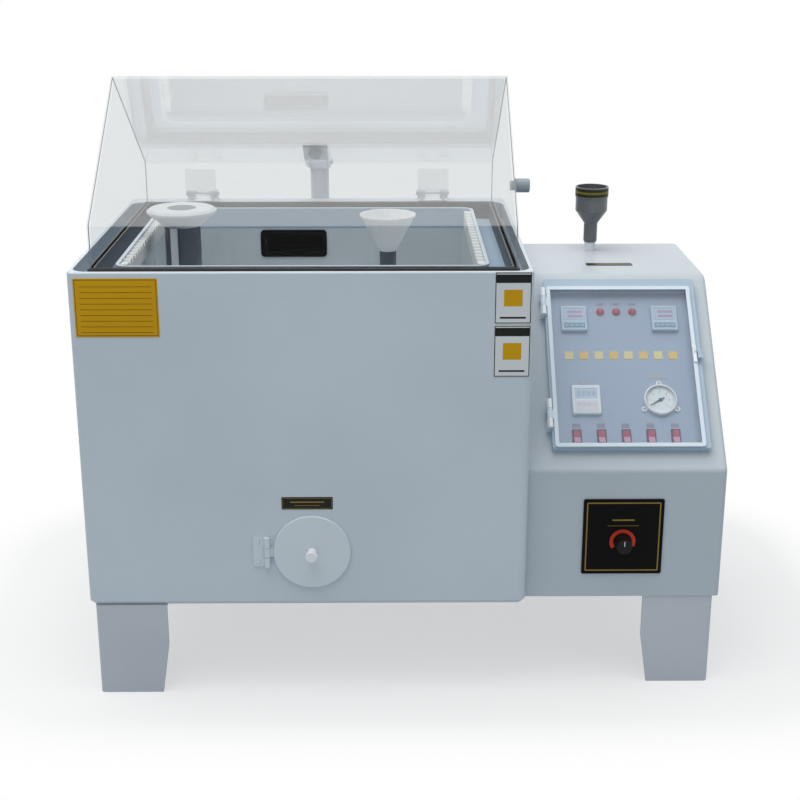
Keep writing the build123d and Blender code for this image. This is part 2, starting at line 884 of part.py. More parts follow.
def collector_funnel():
    """White collecting funnel; its spout drops into the stem, so it lifts off."""
    top = collector_rim_height
    neck_z = top - collector_lip - collector_cone_height
    spout = collector_stem_radius - collector_socket_wall - bore_clearance
    bore = spout - collector_wall
    points = [
        (bore, neck_z - 20), (spout, neck_z - 20), (spout, neck_z),
        (collector_stem_radius, neck_z),
        (collector_mouth_radius - 2, top - collector_lip),
        (collector_mouth_radius, top - collector_lip), (collector_mouth_radius, top),
        (collector_mouth_radius - 2 * collector_wall, top), (bore, neck_z + collector_wall),
    ]
    return turned(points, collector_x, collector_y)


def collector_stem():
    """Dark tube with a round foot that stands on the false floor."""
    z0 = false_floor_z + false_floor_thickness
    z1 = collector_rim_height - collector_lip - collector_cone_height - bore_clearance
    foot = collector_stem_radius * 1.8
    bore = collector_stem_radius - collector_socket_wall
    points = [
        (bore, z0), (foot, z0), (foot, z0 + 5), (collector_stem_radius, z0 + 12),
        (collector_stem_radius, z1), (bore, z1),
    ]
    return turned(points, collector_x, collector_y)


def vent_duct():
    """Flat mouth in the chamber wall, a box behind it, and a round spigot beside the lift."""
    mouth_y = chamber_back_y - vent_frame_thickness
    box_y = chamber_back_y + liner_wall + plenum_gap
    neck_y = back_y - tank_wall - plenum_gap
    out_y = back_y + exhaust_length

    def flat(width, height, y0, y1, z=exhaust_z):
        plane = Plane(origin=(vent_x, y0, z), x_dir=(1, 0, 0), z_dir=(0, -1, 0))
        return extrude(plane * RectangleRounded(width, height, vent_corner_radius), y0 - y1)

    w = vent_wall
    mouth = flat(vent_width, vent_height, mouth_y, box_y + w, vent_z)
    mouth += flat(
        vent_width + 2 * vent_frame, vent_height + 2 * vent_frame, mouth_y, chamber_back_y, vent_z
    )
    mouth += flat(vent_width, plenum_height, box_y, box_y + w)
    mouth -= flat(vent_width - 2 * w, vent_height - 2 * w, mouth_y - 1, box_y + w + 1, vent_z)
    sides = flat(vent_width, plenum_height, box_y + w, neck_y - w)
    sides -= flat(vent_width - 2 * w, plenum_height - 2 * w, box_y, neck_y)
    spigot = flat(vent_width, plenum_height, neck_y - w, neck_y)
    start_y = back_y + spigot_start
    spigot += bar_y(exhaust_radius - spigot_neck, exhaust_x, neck_y - w, start_y, exhaust_z)
    spigot += bar_y(exhaust_radius, exhaust_x, start_y, out_y, exhaust_z)
    spigot -= bar_y(exhaust_radius - w, exhaust_x, neck_y - w - 1, out_y + 1, exhaust_z)
    return Compound(children=[mouth.solid(), sides.solid(), spigot.solid()])


def drain_pipe():
    """Drain that hangs by its flange on the chamber floor and leaves under the tank."""
    z1 = chamber_floor_z + drain_flange_thickness
    z0 = foot_height - drain_below_tank
    bore = drain_radius - drain_wall
    neck = drain_radius - spigot_neck
    start_z = foot_height - spigot_start
    points = [
        (bore, z0), (drain_radius, z0), (drain_radius, start_z), (neck, start_z), (neck, chamber_floor_z),
        (drain_flange_radius, chamber_floor_z), (drain_flange_radius, z1 - 2),
        (drain_flange_radius - 2, z1), (bore, z1),
    ]
    return turned(points, tank_x, tower_y)


def lid_outline(inset):
    """Side view of the lid as a Y-Z face, moved in by inset, with rounded bends."""
    back_run = lid_depth - ridge_from_lid_front
    front_rise = ridge_above_rim - lid_front_skirt
    back_rise = ridge_above_rim - lid_rear_skirt
    front_tilt = atan2(front_rise, ridge_from_lid_front)
    back_tilt = atan2(back_rise, back_run)
    front_drop = inset * (1 - sin(front_tilt)) / cos(front_tilt)
    back_drop = inset * (1 - sin(back_tilt)) / cos(back_tilt)
    front_slope = front_rise / ridge_from_lid_front
    back_slope = back_rise / back_run
    front_sink = inset / cos(front_tilt)
    back_sink = inset / cos(back_tilt)
    ridge_shift = (back_sink - front_sink) / (front_slope + back_slope)
    top_y = ridge_y - ridge_shift
    top_z = ridge_z - front_sink - ridge_shift * front_slope
    points = [
        (lid_front_y + inset, lid_low_z), (lid_front_y + inset, front_kink_z - front_drop),
        (top_y, top_z), (lid_back_y - inset, rear_kink_z - back_drop), (lid_back_y - inset, lid_low_z),
    ]
    face = make_face(Polyline(*points, close=True))
    bends = [v for v in face.vertices() if v.Y > lid_low_z + 1]
    return fillet(bends, lid_bend_radius - inset)


def lid_solid(inset, x0, x1):
    """The lid's outline drawn out between two end planes."""
    plane = Plane(origin=(x0, 0, 0), x_dir=(0, 1, 0), z_dir=(1, 0, 0))
    return extrude(plane * lid_outline(inset), x1 - x0)


def slope_frame():
    """Direction up the rear slope of the lid and its outward normal, as Y-Z pairs."""
    back_run = lid_depth - ridge_from_lid_front
    back_rise = ridge_above_rim - lid_rear_skirt
    length = hypot(back_run, back_rise)
    up = (-back_run / length, back_rise / length)
    out = (back_rise / length, back_run / length)
    return up, out


def slope_point(along, off):
    """A Y-Z point by its distance up the rear slope from the kink and off its face."""
    up, out = slope_frame()
    return (
        lid_back_y + along * up[0] + off * out[0],
        rear_kink_z + along * up[1] + off * out[1],
    )


def slope_bar(radius, along, off0, off1):
    """A round bar through the rear slope of the lid, at right angles to it."""
    out = slope_frame()[1]
    start = slope_point(along, off0)
    plane = Plane(origin=(tank_x, start[0], start[1]), x_dir=(1, 0, 0), z_dir=(0, out[0], out[1]))
    return extrude(plane * Circle(radius), off1 - off0)


def fixing_along():
    """How far up the rear slope the arm is bolted on."""
    return arm_base_from_kink + arm_base_length * 0.6


def lid_shell():
    """Clear gable lid, open below."""
    x0 = lid_x - lid_width / 2
    x1 = lid_x + lid_width / 2
    shell = lid_solid(0, x0, x1)
    inner = lid_solid(lid_wall, x0 + lid_wall, x1 - lid_wall)
    shell -= inner
    shell -= block(
        x0 + lid_wall, x1 - lid_wall, lid_front_y + lid_wall, lid_back_y - lid_wall,
        lid_low_z - 1, lid_low_z + 1,
    )
    shell -= slope_bar(fixing_bolt_radius + running_clearance, fixing_along(), -2 * lid_wall, 1)
    shell -= bar_x(
        plug_neck_radius + running_clearance, x1 - lid_wall - 1, x1 + 1,
        lid_front_y + plug_from_lid_front, rim_height + plug_above_rim,
    )
    return shell


def lid_seal():
    """Black channel strip on the lower edge of the lid."""
    x0 = lid_x - lid_width / 2
    x1 = lid_x + lid_width / 2
    z0 = lid_low_z - seal_wall
    z1 = rim_height + seal_above_rim
    strip = block(
        x0 - seal_wall, x1 + seal_wall, lid_front_y - seal_wall, lid_back_y + seal_wall, z0, z1
    )
    strip = fillet(strip.edges().filter_by(Axis.Z), seal_wall)
    inset = lid_wall + seal_wall
    strip -= block(x0 + inset, x1 - inset, lid_front_y + inset, lid_back_y - inset, z0 - 1, z1 + 1)
    slot = block(x0, x1, lid_front_y, lid_back_y, lid_low_z, z1 + 1)
    slot -= block(
        x0 + lid_wall, x1 - lid_wall, lid_front_y + lid_wall, lid_back_y - lid_wall,
        lid_low_z, z1 + 1,
    )
    return strip - slot


def lid_plug():
    """Grey plug that closes the port in the right end panel."""
    x1 = lid_x + lid_width / 2
    y = lid_front_y + plug_from_lid_front
    z = rim_height + plug_above_rim
    head = bar_x(plug_radius, x1, x1 + plug_length, y, z)
    head = chamfer(head.faces().sort_by(Axis.X)[-1].edges(), small_chamfer)
    return head + bar_x(plug_neck_radius, x1 - lid_wall - 3, x1, y, z)


def hinge_places():
    """Middles of the two lid hinges along X."""
    return [tank_x - hinge_spacing / 2, tank_x + hinge_spacing / 2]


def lid_hinge_brackets():
    """Brackets on the rear land, each with two knuckles, and their headed pins."""
    parts = []
    knuckle = hinge_width / 4
    for x in hinge_places():
        bracket = block(
            x - hinge_width / 2, x + hinge_width / 2,
            trough_back_y + 2, back_y - 2, rim_height, rim_height + hinge_leaf_thickness,
        )
        for x0 in (x - hinge_width / 2, x + hinge_width / 2 - knuckle):
            bracket += bar_x(hinge_knuckle_radius, x0, x0 + knuckle, hinge_y, hinge_z)
            bracket += block(
                x0, x0 + knuckle, hinge_y - hinge_knuckle_radius, hinge_y + hinge_knuckle_radius,
                rim_height + hinge_leaf_thickness, hinge_z,
            )
        bracket -= bar_x(
            hinge_pin_radius + running_clearance, x - hinge_width, x + hinge_width, hinge_y, hinge_z
        )
        parts.append(bracket.solid())
        pin = bar_x(hinge_pin_radius, x - hinge_width / 2, x + hinge_width / 2 + 3, hinge_y, hinge_z)
        pin += bar_x(
            hinge_pin_radius + 2, x - hinge_width / 2 - 3, x - hinge_width / 2, hinge_y, hinge_z
        )
        parts.append(pin.solid())
    return Compound(children=parts)


def lid_hinge_leaves():
    """Leaves on the rear skirt of the lid, each with the middle knuckle."""
    parts = []
    half = hinge_width / 4 - hinge_side_gap
    web = hinge_leaf_thickness + 1
    low = hinge_z - web / 2
    for x in hinge_places():
        leaf = block(
            x - hinge_width / 2, x + hinge_width / 2,
            lid_back_y, lid_back_y + hinge_leaf_thickness, low, low + hinge_leaf_height,
        )
        leaf += block(x - half, x + half, lid_back_y, hinge_y, low, low + web)
        leaf += bar_x(hinge_knuckle_radius, x - half, x + half, hinge_y, hinge_z)
        leaf -= bar_x(
            hinge_pin_radius + running_clearance, x - hinge_width, x + hinge_width, hinge_y, hinge_z
        )
        parts.append(leaf.solid())
    return Compound(children=parts)


def lid_arm():
    """Fork bolted to the rear slope, with the headed lift pin through its two cheeks."""
    inner = yoke_width / 2 + arm_side_gap
    foot_low = slope_point(arm_base_from_kink, 0)
    foot_low_top = slope_point(arm_base_from_kink, arm_base_thickness)
    foot_high_top = slope_point(arm_base_from_kink + arm_base_length, arm_base_thickness)
    foot_high = slope_point(arm_base_from_kink + arm_base_length, 0)
    width = inner + arm_plate
    arm = slab_yz([foot_low, foot_low_top, foot_high_top, foot_high], tank_x - width, tank_x + width)
    along = atan2(lift_pin_z - foot_low[1], lift_pin_y - foot_low[0])
    side = (-sin(along) * arm_eye_radius, cos(along) * arm_eye_radius)
    outline = [
        foot_low, foot_low_top, foot_high_top,
        (lift_pin_y + side[0], lift_pin_z + side[1]), (lift_pin_y - side[0], lift_pin_z - side[1]),
    ]
    for x0 in (tank_x - width, tank_x + inner):
        arm += slab_yz(outline, x0, x0 + arm_plate)
        arm += bar_x(arm_eye_radius, x0, x0 + arm_plate, lift_pin_y, lift_pin_z)
    arm -= bar_x(
        lift_pin_radius + running_clearance, tank_x - width - 1, tank_x + width + 1,
        lift_pin_y, lift_pin_z,
    )
    arm -= slope_bar(
        fixing_bolt_radius + running_clearance, fixing_along(), -1, arm_base_thickness + 1
    )
    pin = bar_x(lift_pin_radius, tank_x - width, tank_x + width + 4, lift_pin_y, lift_pin_z)
    pin += bar_x(lift_pin_radius + 3, tank_x - width - 4, tank_x - width, lift_pin_y, lift_pin_z)
    return Compound(children=[arm.solid(), pin.solid()])


def lid_fixing():
    """Domed bolt inside the lid, with its nut behind the fork."""
    along = fixing_along()
    off = -lid_wall
    head = slope_bar(fixing_radius, along, off - fixing_head, off)
    head = chamfer(head.edges().sort_by(lambda e: e.center().Z)[0], fixing_chamfer)
    shank = slope_bar(fixing_bolt_radius, along, off, arm_base_thickness)
    nut = slope_bar(fixing_bolt_radius * 2, along, arm_base_thickness, arm_base_thickness + 6)
    return head + shank + nut


def lift_rod():
    """Piston, rod and slotted yoke."""
    low = barrel_bottom_z + lift_cap_length + (lift_barrel_length - 2 * lift_cap_length) - lift_piston_length
    yoke_low = lift_pin_z - yoke_height / 2
    yoke = block(
        tank_x - yoke_width / 2, tank_x + yoke_width / 2,
        lift_y - yoke_depth / 2, lift_y + yoke_depth / 2, yoke_low, yoke_low + yoke_height,
    )
    yoke = fillet(yoke.edges().filter_by(Axis.X), 5)
    half = lift_pin_radius + lift_slot_clearance
    swing = lift_arm_radius * (1 - cos(half_lift)) / 2
    yoke -= block(
        tank_x - yoke_width, tank_x + yoke_width,
        lift_y - swing, lift_y + swing, lift_pin_z - half, lift_pin_z + half,
    )
    for y in (lift_y - swing, lift_y + swing):
        yoke -= bar_x(half, tank_x - yoke_width, tank_x + yoke_width, y, lift_pin_z)
    rod = post(lift_rod_radius, tank_x, lift_y, low, yoke_low)
    bore = lift_barrel_radius - lift_barrel_wall - running_clearance
    piston = post(bore, tank_x, lift_y, low, low + lift_piston_length)
    return yoke + rod + piston


def lift_sleeve():
    """Sleeve under the yoke that keeps salt mist off the rod."""
    top = lift_pin_z - yoke_height / 2
    low = barrel_top_z - sleeve_overlap
    sleeve = post(sleeve_radius, tank_x, lift_y, low, top)
    sleeve -= post(sleeve_radius - sleeve_wall, tank_x, lift_y, low - 1, top - sleeve_wall)
    return sleeve - post(lift_rod_radius + running_clearance, tank_x, lift_y, low, top + 1)


def lift_barrel():
    """Air cylinder barrel with its end cap below and the rod gland at its top."""
    bore = lift_barrel_radius - lift_barrel_wall
    barrel = post(lift_barrel_radius, tank_x, lift_y, barrel_bottom_z, barrel_top_z)
    barrel -= post(
        bore, tank_x, lift_y, barrel_bottom_z + lift_cap_length, barrel_top_z - lift_cap_length
    )
    barrel -= post(
        lift_rod_radius + running_clearance, tank_x, lift_y, barrel_top_z - lift_cap_length - 1,
        barrel_top_z + 1,
    )
    port_z = barrel_bottom_z - 1
    barrel += post(lift_rod_radius + 1, tank_x, lift_y, port_z - 12, barrel_bottom_z)
    return barrel


def lift_clamp():
    """Clamp that holds the barrel to the back of the tank."""
    z0 = barrel_bottom_z + 4
    z1 = z0 + clamp_height
    reach = lift_barrel_radius + clamp_wall
    plate = block(
        tank_x - clamp_plate_width / 2, tank_x + clamp_plate_width / 2,
        back_y, back_y + clamp_plate_thickness, z0, z1,
    )
    arm = block(tank_x - reach, tank_x + reach, back_y + clamp_plate_thickness, lift_y, z0, z1)
    clamp = plate + arm + post(reach, tank_x, lift_y, z0, z1)
    clamp -= post(lift_barrel_radius + running_clearance, tank_x, lift_y, z0 - 1, z1 + 1)
    inner = lift_barrel_radius - clamp_wall / 2
    clamp -= block(
        tank_x - inner, tank_x + inner,
        back_y + clamp_plate_thickness + clamp_wall, lift_y - reach + 1, z0 - 1, z1 + 1,
    )
    return clamp


def front_cover():
    """Round cover with the middle knuckle of its hinge."""
    y1 = front_y - cover_gap
    y0 = y1 - cover_thickness
    disc = bar_y(cover_radius, cover_x, y0, y1, cover_height)
    disc = chamfer(disc.faces().sort_by(Axis.Y)[0].edges(), small_chamfer)
    knuckle = cover_hinge_height / 3 - 2 * hinge_side_gap
    z0 = cover_height - knuckle / 2
    ear = block(
        cover_hinge_x, cover_x - cover_radius + cover_hinge_from_edge,
        y1 - cover_leaf_thickness - 1, y1, z0, z0 + knuckle,
    )
    cover = disc + ear + post(cover_knuckle_radius, cover_hinge_x, cover_hinge_y, z0, z0 + knuckle)
    cover -= post(
        cover_pin_radius + running_clearance, cover_hinge_x, cover_hinge_y, z0 - 1, z0 + knuckle + 1
    )
    cover -= bar_y(cover_shaft_radius + running_clearance, cover_x, y0 - 1, y1 + 1, cover_height)
    return cover


def cover_hinge():
    """Fixed leaf of the cover's hinge, with its two outer knuckles and a pin."""
    z0 = cover_height - cover_hinge_height / 2
    z1 = cover_height + cover_hinge_height / 2
    third = cover_hinge_height / 3
    leaf = block(
        cover_hinge_x - cover_leaf_width, cover_hinge_x - cover_knuckle_radius - hinge_side_gap,
        front_y - cover_leaf_thickness, front_y, z0, z1,
    )
    for low in (z0, z1 - third):
        leaf += post(cover_knuckle_radius, cover_hinge_x, cover_hinge_y, low, low + third)
        leaf += block(
            cover_hinge_x - cover_knuckle_radius - 1, cover_hinge_x,
            front_y - cover_leaf_thickness, front_y, low, low + third,
        )
    pin = post(cover_pin_radius, cover_hinge_x, cover_hinge_y, z0, z1)
    return leaf + pin


def cover_knob():
    """Waisted knob on the middle of the cover, with its shaft and retaining washer."""
    y1 = front_y - cover_gap - cover_thickness
    r = cover_knob_radius
    length = cover_knob_length
    tail = cover_thickness + 2 * cover_gap
    points = [
        (0, -tail - 3), (cover_shaft_radius * 2, -tail - 3), (cover_shaft_radius * 2, -tail),
        (cover_shaft_radius, -tail), (cover_shaft_radius, cover_gap), (r * 0.8, cover_gap),
        (r * 0.62, length * 0.4), (r, length * 0.72), (r, length * 0.9), (r * 0.82, length), (0, length),
    ]
    profile = Plane.XZ * Polygon(*points, align=None)
    return Pos(cover_x, y1, cover_height) * Rot(90, 0, 0) * revolve(profile, Axis.Z)


def plate_foot():
    """Bent-plate foot in the corner of the +X +Y quarter, with flanges above and below."""
    taper_z = foot_height * foot_taper_share
    side = [
        (0, 0), (foot_bottom_width, 0), (foot_width, taper_z), (foot_width, foot_height),
        (0, foot_height),
    ]
    front_leaf = extrude(Plane.XZ * Polygon(*side, align=None), -foot_plate)
    side_leaf = slab_yz(side, 0, foot_plate)
    top = block(0, foot_width, 0, foot_width, foot_height - foot_plate, foot_height)
    flange = foot_bottom_width - foot_flange_setback
    bottom = block(0, flange, 0, flange, 0, foot_plate)
    bottom -= block(foot_flange, flange + 1, foot_flange, flange + 1, -1, foot_plate + 1)
    foot = front_leaf + side_leaf + top + bottom
    corner = foot_width * 0.45
    cut = extrude(
        Polygon(
            (corner, foot_width + 1), (foot_width + 1, corner), (foot_width + 1, foot_width + 1),
            align=None,
        ),
        foot_height + 1,
    )
    foot -= cut
    foot = fillet(foot.edges().filter_by(Axis.Z).sort_by(lambda e: hypot(e.center().X, e.center().Y))[0],
                  foot_bend_radius)
    bolt = foot_width * 0.42
    foot -= post(foot_bolt_radius, bolt, bolt, foot_height - 2 * foot_plate, foot_height + 1)
    return foot


def feet():
    """The four feet, two under the tank and two under the cabinet."""
    foot = plate_foot()
    mirrored = foot.mirror(Plane.YZ)
    left = left_x + foot_side_inset
    right = right_x - foot_side_inset
    return Compound(children=[
        (Pos(left, front_y + foot_face_inset, 0) * foot).solid(),
        (Pos(right, cabinet_front_y + foot_face_inset, 0) * mirrored).solid(),
        (Pos(left, back_y - foot_face_inset, 0) * foot.mirror(Plane.XZ)).solid(),
        (Pos(right, cabinet_back_y - foot_face_inset, 0) * mirrored.mirror(Plane.XZ)).solid(),
    ])


def cabinet_outline(inset):
    """Side view of the cabinet as a Y-Z face moved in by inset."""
    y0 = cabinet_front_y + inset
    y1 = cabinet_back_y - inset
    z0 = foot_height + inset
    z1 = cabinet_top_height - inset
    turn = radians(console_angle)
    fold_drop = inset * (1 - cos(turn)) / sin(turn)
    top_shift = inset * (1 / sin(turn) - 1 / (sin(turn) / cos(turn)))
    points = [
        (y0, z0), (y0, cabinet_fold_height - fold_drop),
        (cabinet_front_y + run + top_shift, z1), (y1, z1), (y1, z0),
    ]
    face = make_face(Polyline(*points, close=True))
    fold = [v for v in face.vertices() if abs(v.X - y0) < 1 and v.Y > z0 + 1]
    top = [v for v in face.vertices() if abs(v.Y - z1) < 1 and v.X < y1 - 1]
    face = fillet(fold, cabinet_fold_radius - inset)
    top = [v for v in face.vertices() if abs(v.Y - z1) < 1 and v.X < y1 - 1]
    return fillet(top, cabinet_top_radius - inset)


def console_hole():
    """Console cut-out as u0, u1, w0, w1."""
    edge = panel_border + 0.5
    return (
        frame_left + frame_rail_left - edge, frame_left + frame_width - frame_rail_right + edge,
        frame_low + frame_rail_bottom - edge, frame_low + frame_length - frame_rail_top + edge,
    )


def back_hole():
    """Rear opening as x0, x1, z0, z1."""
    middle = (tank_right_x + right_x) / 2
    half = back_cover_width / 2 - back_cover_edge
    low = foot_height + back_cover_from_underside
    return (middle - half, middle + half, low + back_cover_edge, low + back_cover_height - back_cover_edge)


def cabinet_body():
    """The whole housing with the console cut-out, the rear opening and the small holes."""
    side = Plane(origin=(tank_right_x, 0, 0), x_dir=(0, 1, 0), z_dir=(1, 0, 0))
    shell = extrude(side * cabinet_outline(0), cabinet_width)
    right_rim = shell.faces().sort_by(Axis.X)[-1].edges()
    bottom_edges = right_rim.filter_by(lambda e: e.center().Z < foot_height + 1)
    shell = fillet([e for e in right_rim if e not in bottom_edges], cabinet_edge_radius)
    hollow = Plane(origin=(cabinet_inner_x, 0, 0), x_dir=(0, 1, 0), z_dir=(1, 0, 0))
    shell -= extrude(hollow * cabinet_outline(cabinet_wall), cabinet_width - 2 * cabinet_wall)
    shell -= console_plate(*console_hole(), -3 * cabinet_wall, 1)
    shell -= bar_y(
        regulator_stem_radius + 3, regulator_x, cabinet_front_y - 1, cabinet_front_y + cabinet_wall + 1,
        regulator_knob_z,
    )
    shell -= post(
        fitting_spigot_radius + bore_clearance, funnel_x, funnel_y,
        cabinet_top_height - cabinet_wall - 1, cabinet_top_height + 1,
    )
    hole_x0, hole_x1, hole_z0, hole_z1 = back_hole()
    shell -= block(
        hole_x0, hole_x1, cabinet_back_y - cabinet_wall - 1, cabinet_back_y + 1, hole_z0, hole_z1
    )
    for y in feed_pipe_places():
        shell -= bar_x(
            feed_pipe_radius + bore_clearance, tank_right_x - 1, cabinet_inner_x + 1,
            y, chamber_floor_z + feed_pipe_above_floor,
        )
    for x, radius in zip(inlet_places(), (gland_radius * 0.7, air_inlet_radius)):
        shell -= bar_y(
            radius + running_clearance, x, cabinet_back_y - cabinet_wall - 1, cabinet_back_y + 1,
            inlet_z(),
        )
    return shell


def cabinet_shell():
    """The housing as it is welded: two sides, floor, front, console borders, top and rear strips."""
    body = cabinet_body()
    x0, x1 = cabinet_inner_x, right_x - cabinet_wall
    y0, y1 = cabinet_front_y, cabinet_back_y
    z0, z1 = foot_height, cabinet_top_height
    inner_z0, inner_z1 = z0 + cabinet_wall, z1 - cabinet_wall
    back = y1 - cabinet_wall
    fold_z = cabinet_fold_height - cabinet_fold_radius
    bend_y = y0 + run + cabinet_top_radius / 2
    parts = inside(body, block(tank_right_x, x0, y0, y1, z0, z1))
    parts += inside(body, block(x1, right_x, y0, y1, z0, z1))
    parts += inside(body, block(x0, x1, y0, back, z0, inner_z0))
    parts += inside(body, block(x0, x1, y0, back, inner_z0, fold_z))
    slope = block(x0, x1, y0, bend_y, fold_z, z1)
    u0, u1, w0, w1 = console_hole()
    width, far = cabinet_width, 2 * run
    deep, proud = -cabinet_width, cabinet_wall
    for u_low, u_high, w_low, w_high in (
        (0, width, -far, w0), (0, width, w1, far), (0, u0, w0, w1), (u1, width, w0, w1),
    ):
        border = console_plate(u_low, u_high, w_low, w_high, deep, proud)
        parts += inside(body, slope, border)
    parts += inside(body, block(x0, x1, bend_y, back, inner_z1, z1))
    hole_x0, hole_x1, hole_z0, hole_z1 = back_hole()
    for strip in (
        (x0, x1, z0, hole_z0), (x0, x1, hole_z1, z1), (x0, hole_x0, hole_z0, hole_z1),
        (hole_x1, x1, hole_z0, hole_z1),
    ):
        left, right, low, high = strip
        parts += inside(body, block(left, right, back, y1, low, high))
    return Compound(children=parts)


def inlet_places():
    """Power gland and air inlet sit side by side above the rear cover."""
    first = tank_right_x + inlet_from_cabinet_left
    return [first, first + inlet_spacing]


def inlet_z():
    """Height of the power gland and the air inlet."""
    return foot_height + back_cover_from_underside + back_cover_height + inlet_rise


def cabinet_back():
    """Rear service cover with two columns of louvres."""
    middle = (tank_right_x + right_x) / 2
    low = foot_height + back_cover_from_underside
    y1 = cabinet_back_y + back_cover_thickness
    cover = block(
        middle - back_cover_width / 2, middle + back_cover_width / 2,
        cabinet_back_y, y1, low, low + back_cover_height,
    )
    first = low + back_cover_height / 2 - louvre_pitch * (louvre_count - 1) / 2
    for column in range(louvre_columns):
        x = middle - back_cover_width / 2 + louvre_zone * (column + 0.5)
        for row in range(louvre_count):
            z = first + row * louvre_pitch
            hood = [(y1, z + louvre_height / 2), (y1 + louvre_rise, z - louvre_height / 2),
                    (y1, z - louvre_height / 2)]
            cover += slab_yz(hood, x - louvre_width / 2, x + louvre_width / 2)
            slot = [(y1 - back_cover_thickness - 1, z + louvre_height / 4),
                    (y1 - back_cover_thickness - 1, z - louvre_height / 2 - 1),
                    (y1 + louvre_rise - 2, z - louvre_height / 2 - 1)]
            cover -= slab_yz(slot, x - louvre_width / 2 + 2, x + louvre_width / 2 - 2)
    return cover


def panel_frame():
    """Raised frame round the control panel, with the keep of the door's turn button."""
    u1 = frame_left + frame_width
    w1 = frame_low + frame_length
    frame = console_plate(frame_left, u1, frame_low, w1, 0, frame_height, frame_corner_radius)
    frame -= console_plate(
        frame_left + frame_rail_left, u1 - frame_rail_right,
        frame_low + frame_rail_bottom, w1 - frame_rail_top, -1, frame_height + 1,
    )
    rail_left = frame_left + frame_rail_left
    rail_right = u1 - frame_rail_right
    rail_low = frame_low + frame_rail_bottom
    rail_high = w1 - frame_rail_top
    parts = []
    for rail in (
        (frame_left, u1, frame_low, rail_low), (frame_left, u1, rail_high, w1),
        (frame_left, rail_left, rail_low, rail_high), (rail_right, u1, rail_low, rail_high),
    ):
        parts += inside(frame, console_plate(*rail, 0, frame_height))
    roof_n = latch_underside() + latch_thickness + door_gap
    stop_w = latch_height + latch_width / 2 + door_gap
    keep_u = door_right + 2 * door_gap
    stop = console_plate(keep_u, u1, stop_w, stop_w + keep_wall, frame_height, roof_n)
    roof = console_plate(
        keep_u, u1, stop_w - keep_reach, stop_w + keep_wall, roof_n, roof_n + keep_wall
    )
    return Compound(children=parts + [stop.solid(), roof.solid()])


def control_panel():
    """Instrument plate under the frame, cut out for each instrument."""
    edge = panel_border
    plate = console_plate(
        frame_left + frame_rail_left - edge, frame_left + frame_width - frame_rail_right + edge,
        frame_low + frame_rail_bottom - edge, frame_low + frame_length - frame_rail_top + edge,
        -panel_thickness, 0,
    )
    deep = 2 * panel_thickness
    for u, w in (controller_left_at, controller_right_at):
        hole = controller_body + 2 * bore_clearance
        plate -= on_console(u, w) * Box(hole, hole, deep * 2)
    hole = timer_body + 2 * bore_clearance
    plate -= on_console(*timer_at) * Box(hole, hole, deep * 2)
    for u in lamp_places():
        plate -= on_console(u, lamp_height) * Cylinder(lamp_radius + bore_clearance, deep * 2)
    for u in rocker_places():
        plate -= on_console(u, rocker_height) * Box(
            rocker_body_width() + 2 * bore_clearance, rocker_body_length() + 2 * bore_clearance, deep * 2
        )
    return plate - on_console(*gauge_at) * Cylinder(gauge_back_radius + bore_clearance, deep * 2)


def lamp_places():
    """The lamps' places across the console."""
    return [lamp_first + i * lamp_pitch for i in range(lamp_count)]


def rocker_places():
    """The rockers' places across the console."""
    return [rocker_first + i * rocker_pitch for i in range(rocker_count)]


def panel_door():
    """Rim of the clear door with the middle knuckles of its hinges."""
    n0 = frame_height + door_gap
    n1 = n0 + door_thickness
    rim = console_plate(door_left, door_right, door_low, door_high, n0, n1, frame_corner_radius)
    rim -= console_plate(
        door_left + door_rim, door_right - door_rim, door_low + door_rim, door_high - door_rim,
        n0 - 1, n1 + 1,
    )
    rim -= console_plate(
        door_left + door_rim - door_window_lip, door_right - door_rim + door_window_lip,
        door_low + door_rim - door_window_lip, door_high - door_rim + door_window_lip,
        n0 - 1, n0 + door_window_thickness,
    )
    length = door_hinge_length / 3 - 2 * hinge_side_gap
    for w in (door_hinge_low, door_hinge_high):
        middle = w + door_hinge_length / 2
        rim += console_bar(door_knuckle_radius, door_hinge_u, middle, door_hinge_n, length)
        rim += console_plate(
            door_hinge_u, door_left + door_rim / 2, middle - length / 2, middle + length / 2, n0, n1
        )
        rim -= console_bar(
            door_pin_radius + running_clearance, door_hinge_u, middle, door_hinge_n, length + 2
        )
    return rim - on_console(latch_u, latch_height, n1 - latch_post_depth) * extrude(
        Circle(latch_post_radius + running_clearance), 2 * latch_post_depth
    )


def console_bar(radius, u, w, n, length):
    """A round bar along the slope of the console."""
    return on_console(u, w, n) * Rot(90, 0, 0) * Cylinder(radius, length)


def door_window():
    """Clear pane let into the back of the door's rim."""
    n0 = frame_height + door_gap
    lip = door_rim - door_window_lip
    return console_plate(
        door_left + lip, door_right - lip, door_low + lip, door_high - lip,
        n0, n0 + door_window_thickness,
    )


def door_hinges():
    """Outer knuckles and leaves of the two door hinges, fixed to the frame, each with its pin."""
    third = door_hinge_length / 3
    parts = []
    for w in (door_hinge_low, door_hinge_high):
        hinge = console_bar(
            door_pin_radius, door_hinge_u, w + door_hinge_length / 2, door_hinge_n, door_hinge_length
        )
        for start in (w, w + 2 * third):
            hinge += console_bar(
                door_knuckle_radius, door_hinge_u, start + third / 2, door_hinge_n, third
            )
            hinge += console_plate(
                door_hinge_u - door_knuckle_radius, frame_left, start, start + third, 0, door_hinge_n
            )
        parts.append(hinge.solid())
    return Compound(children=parts)


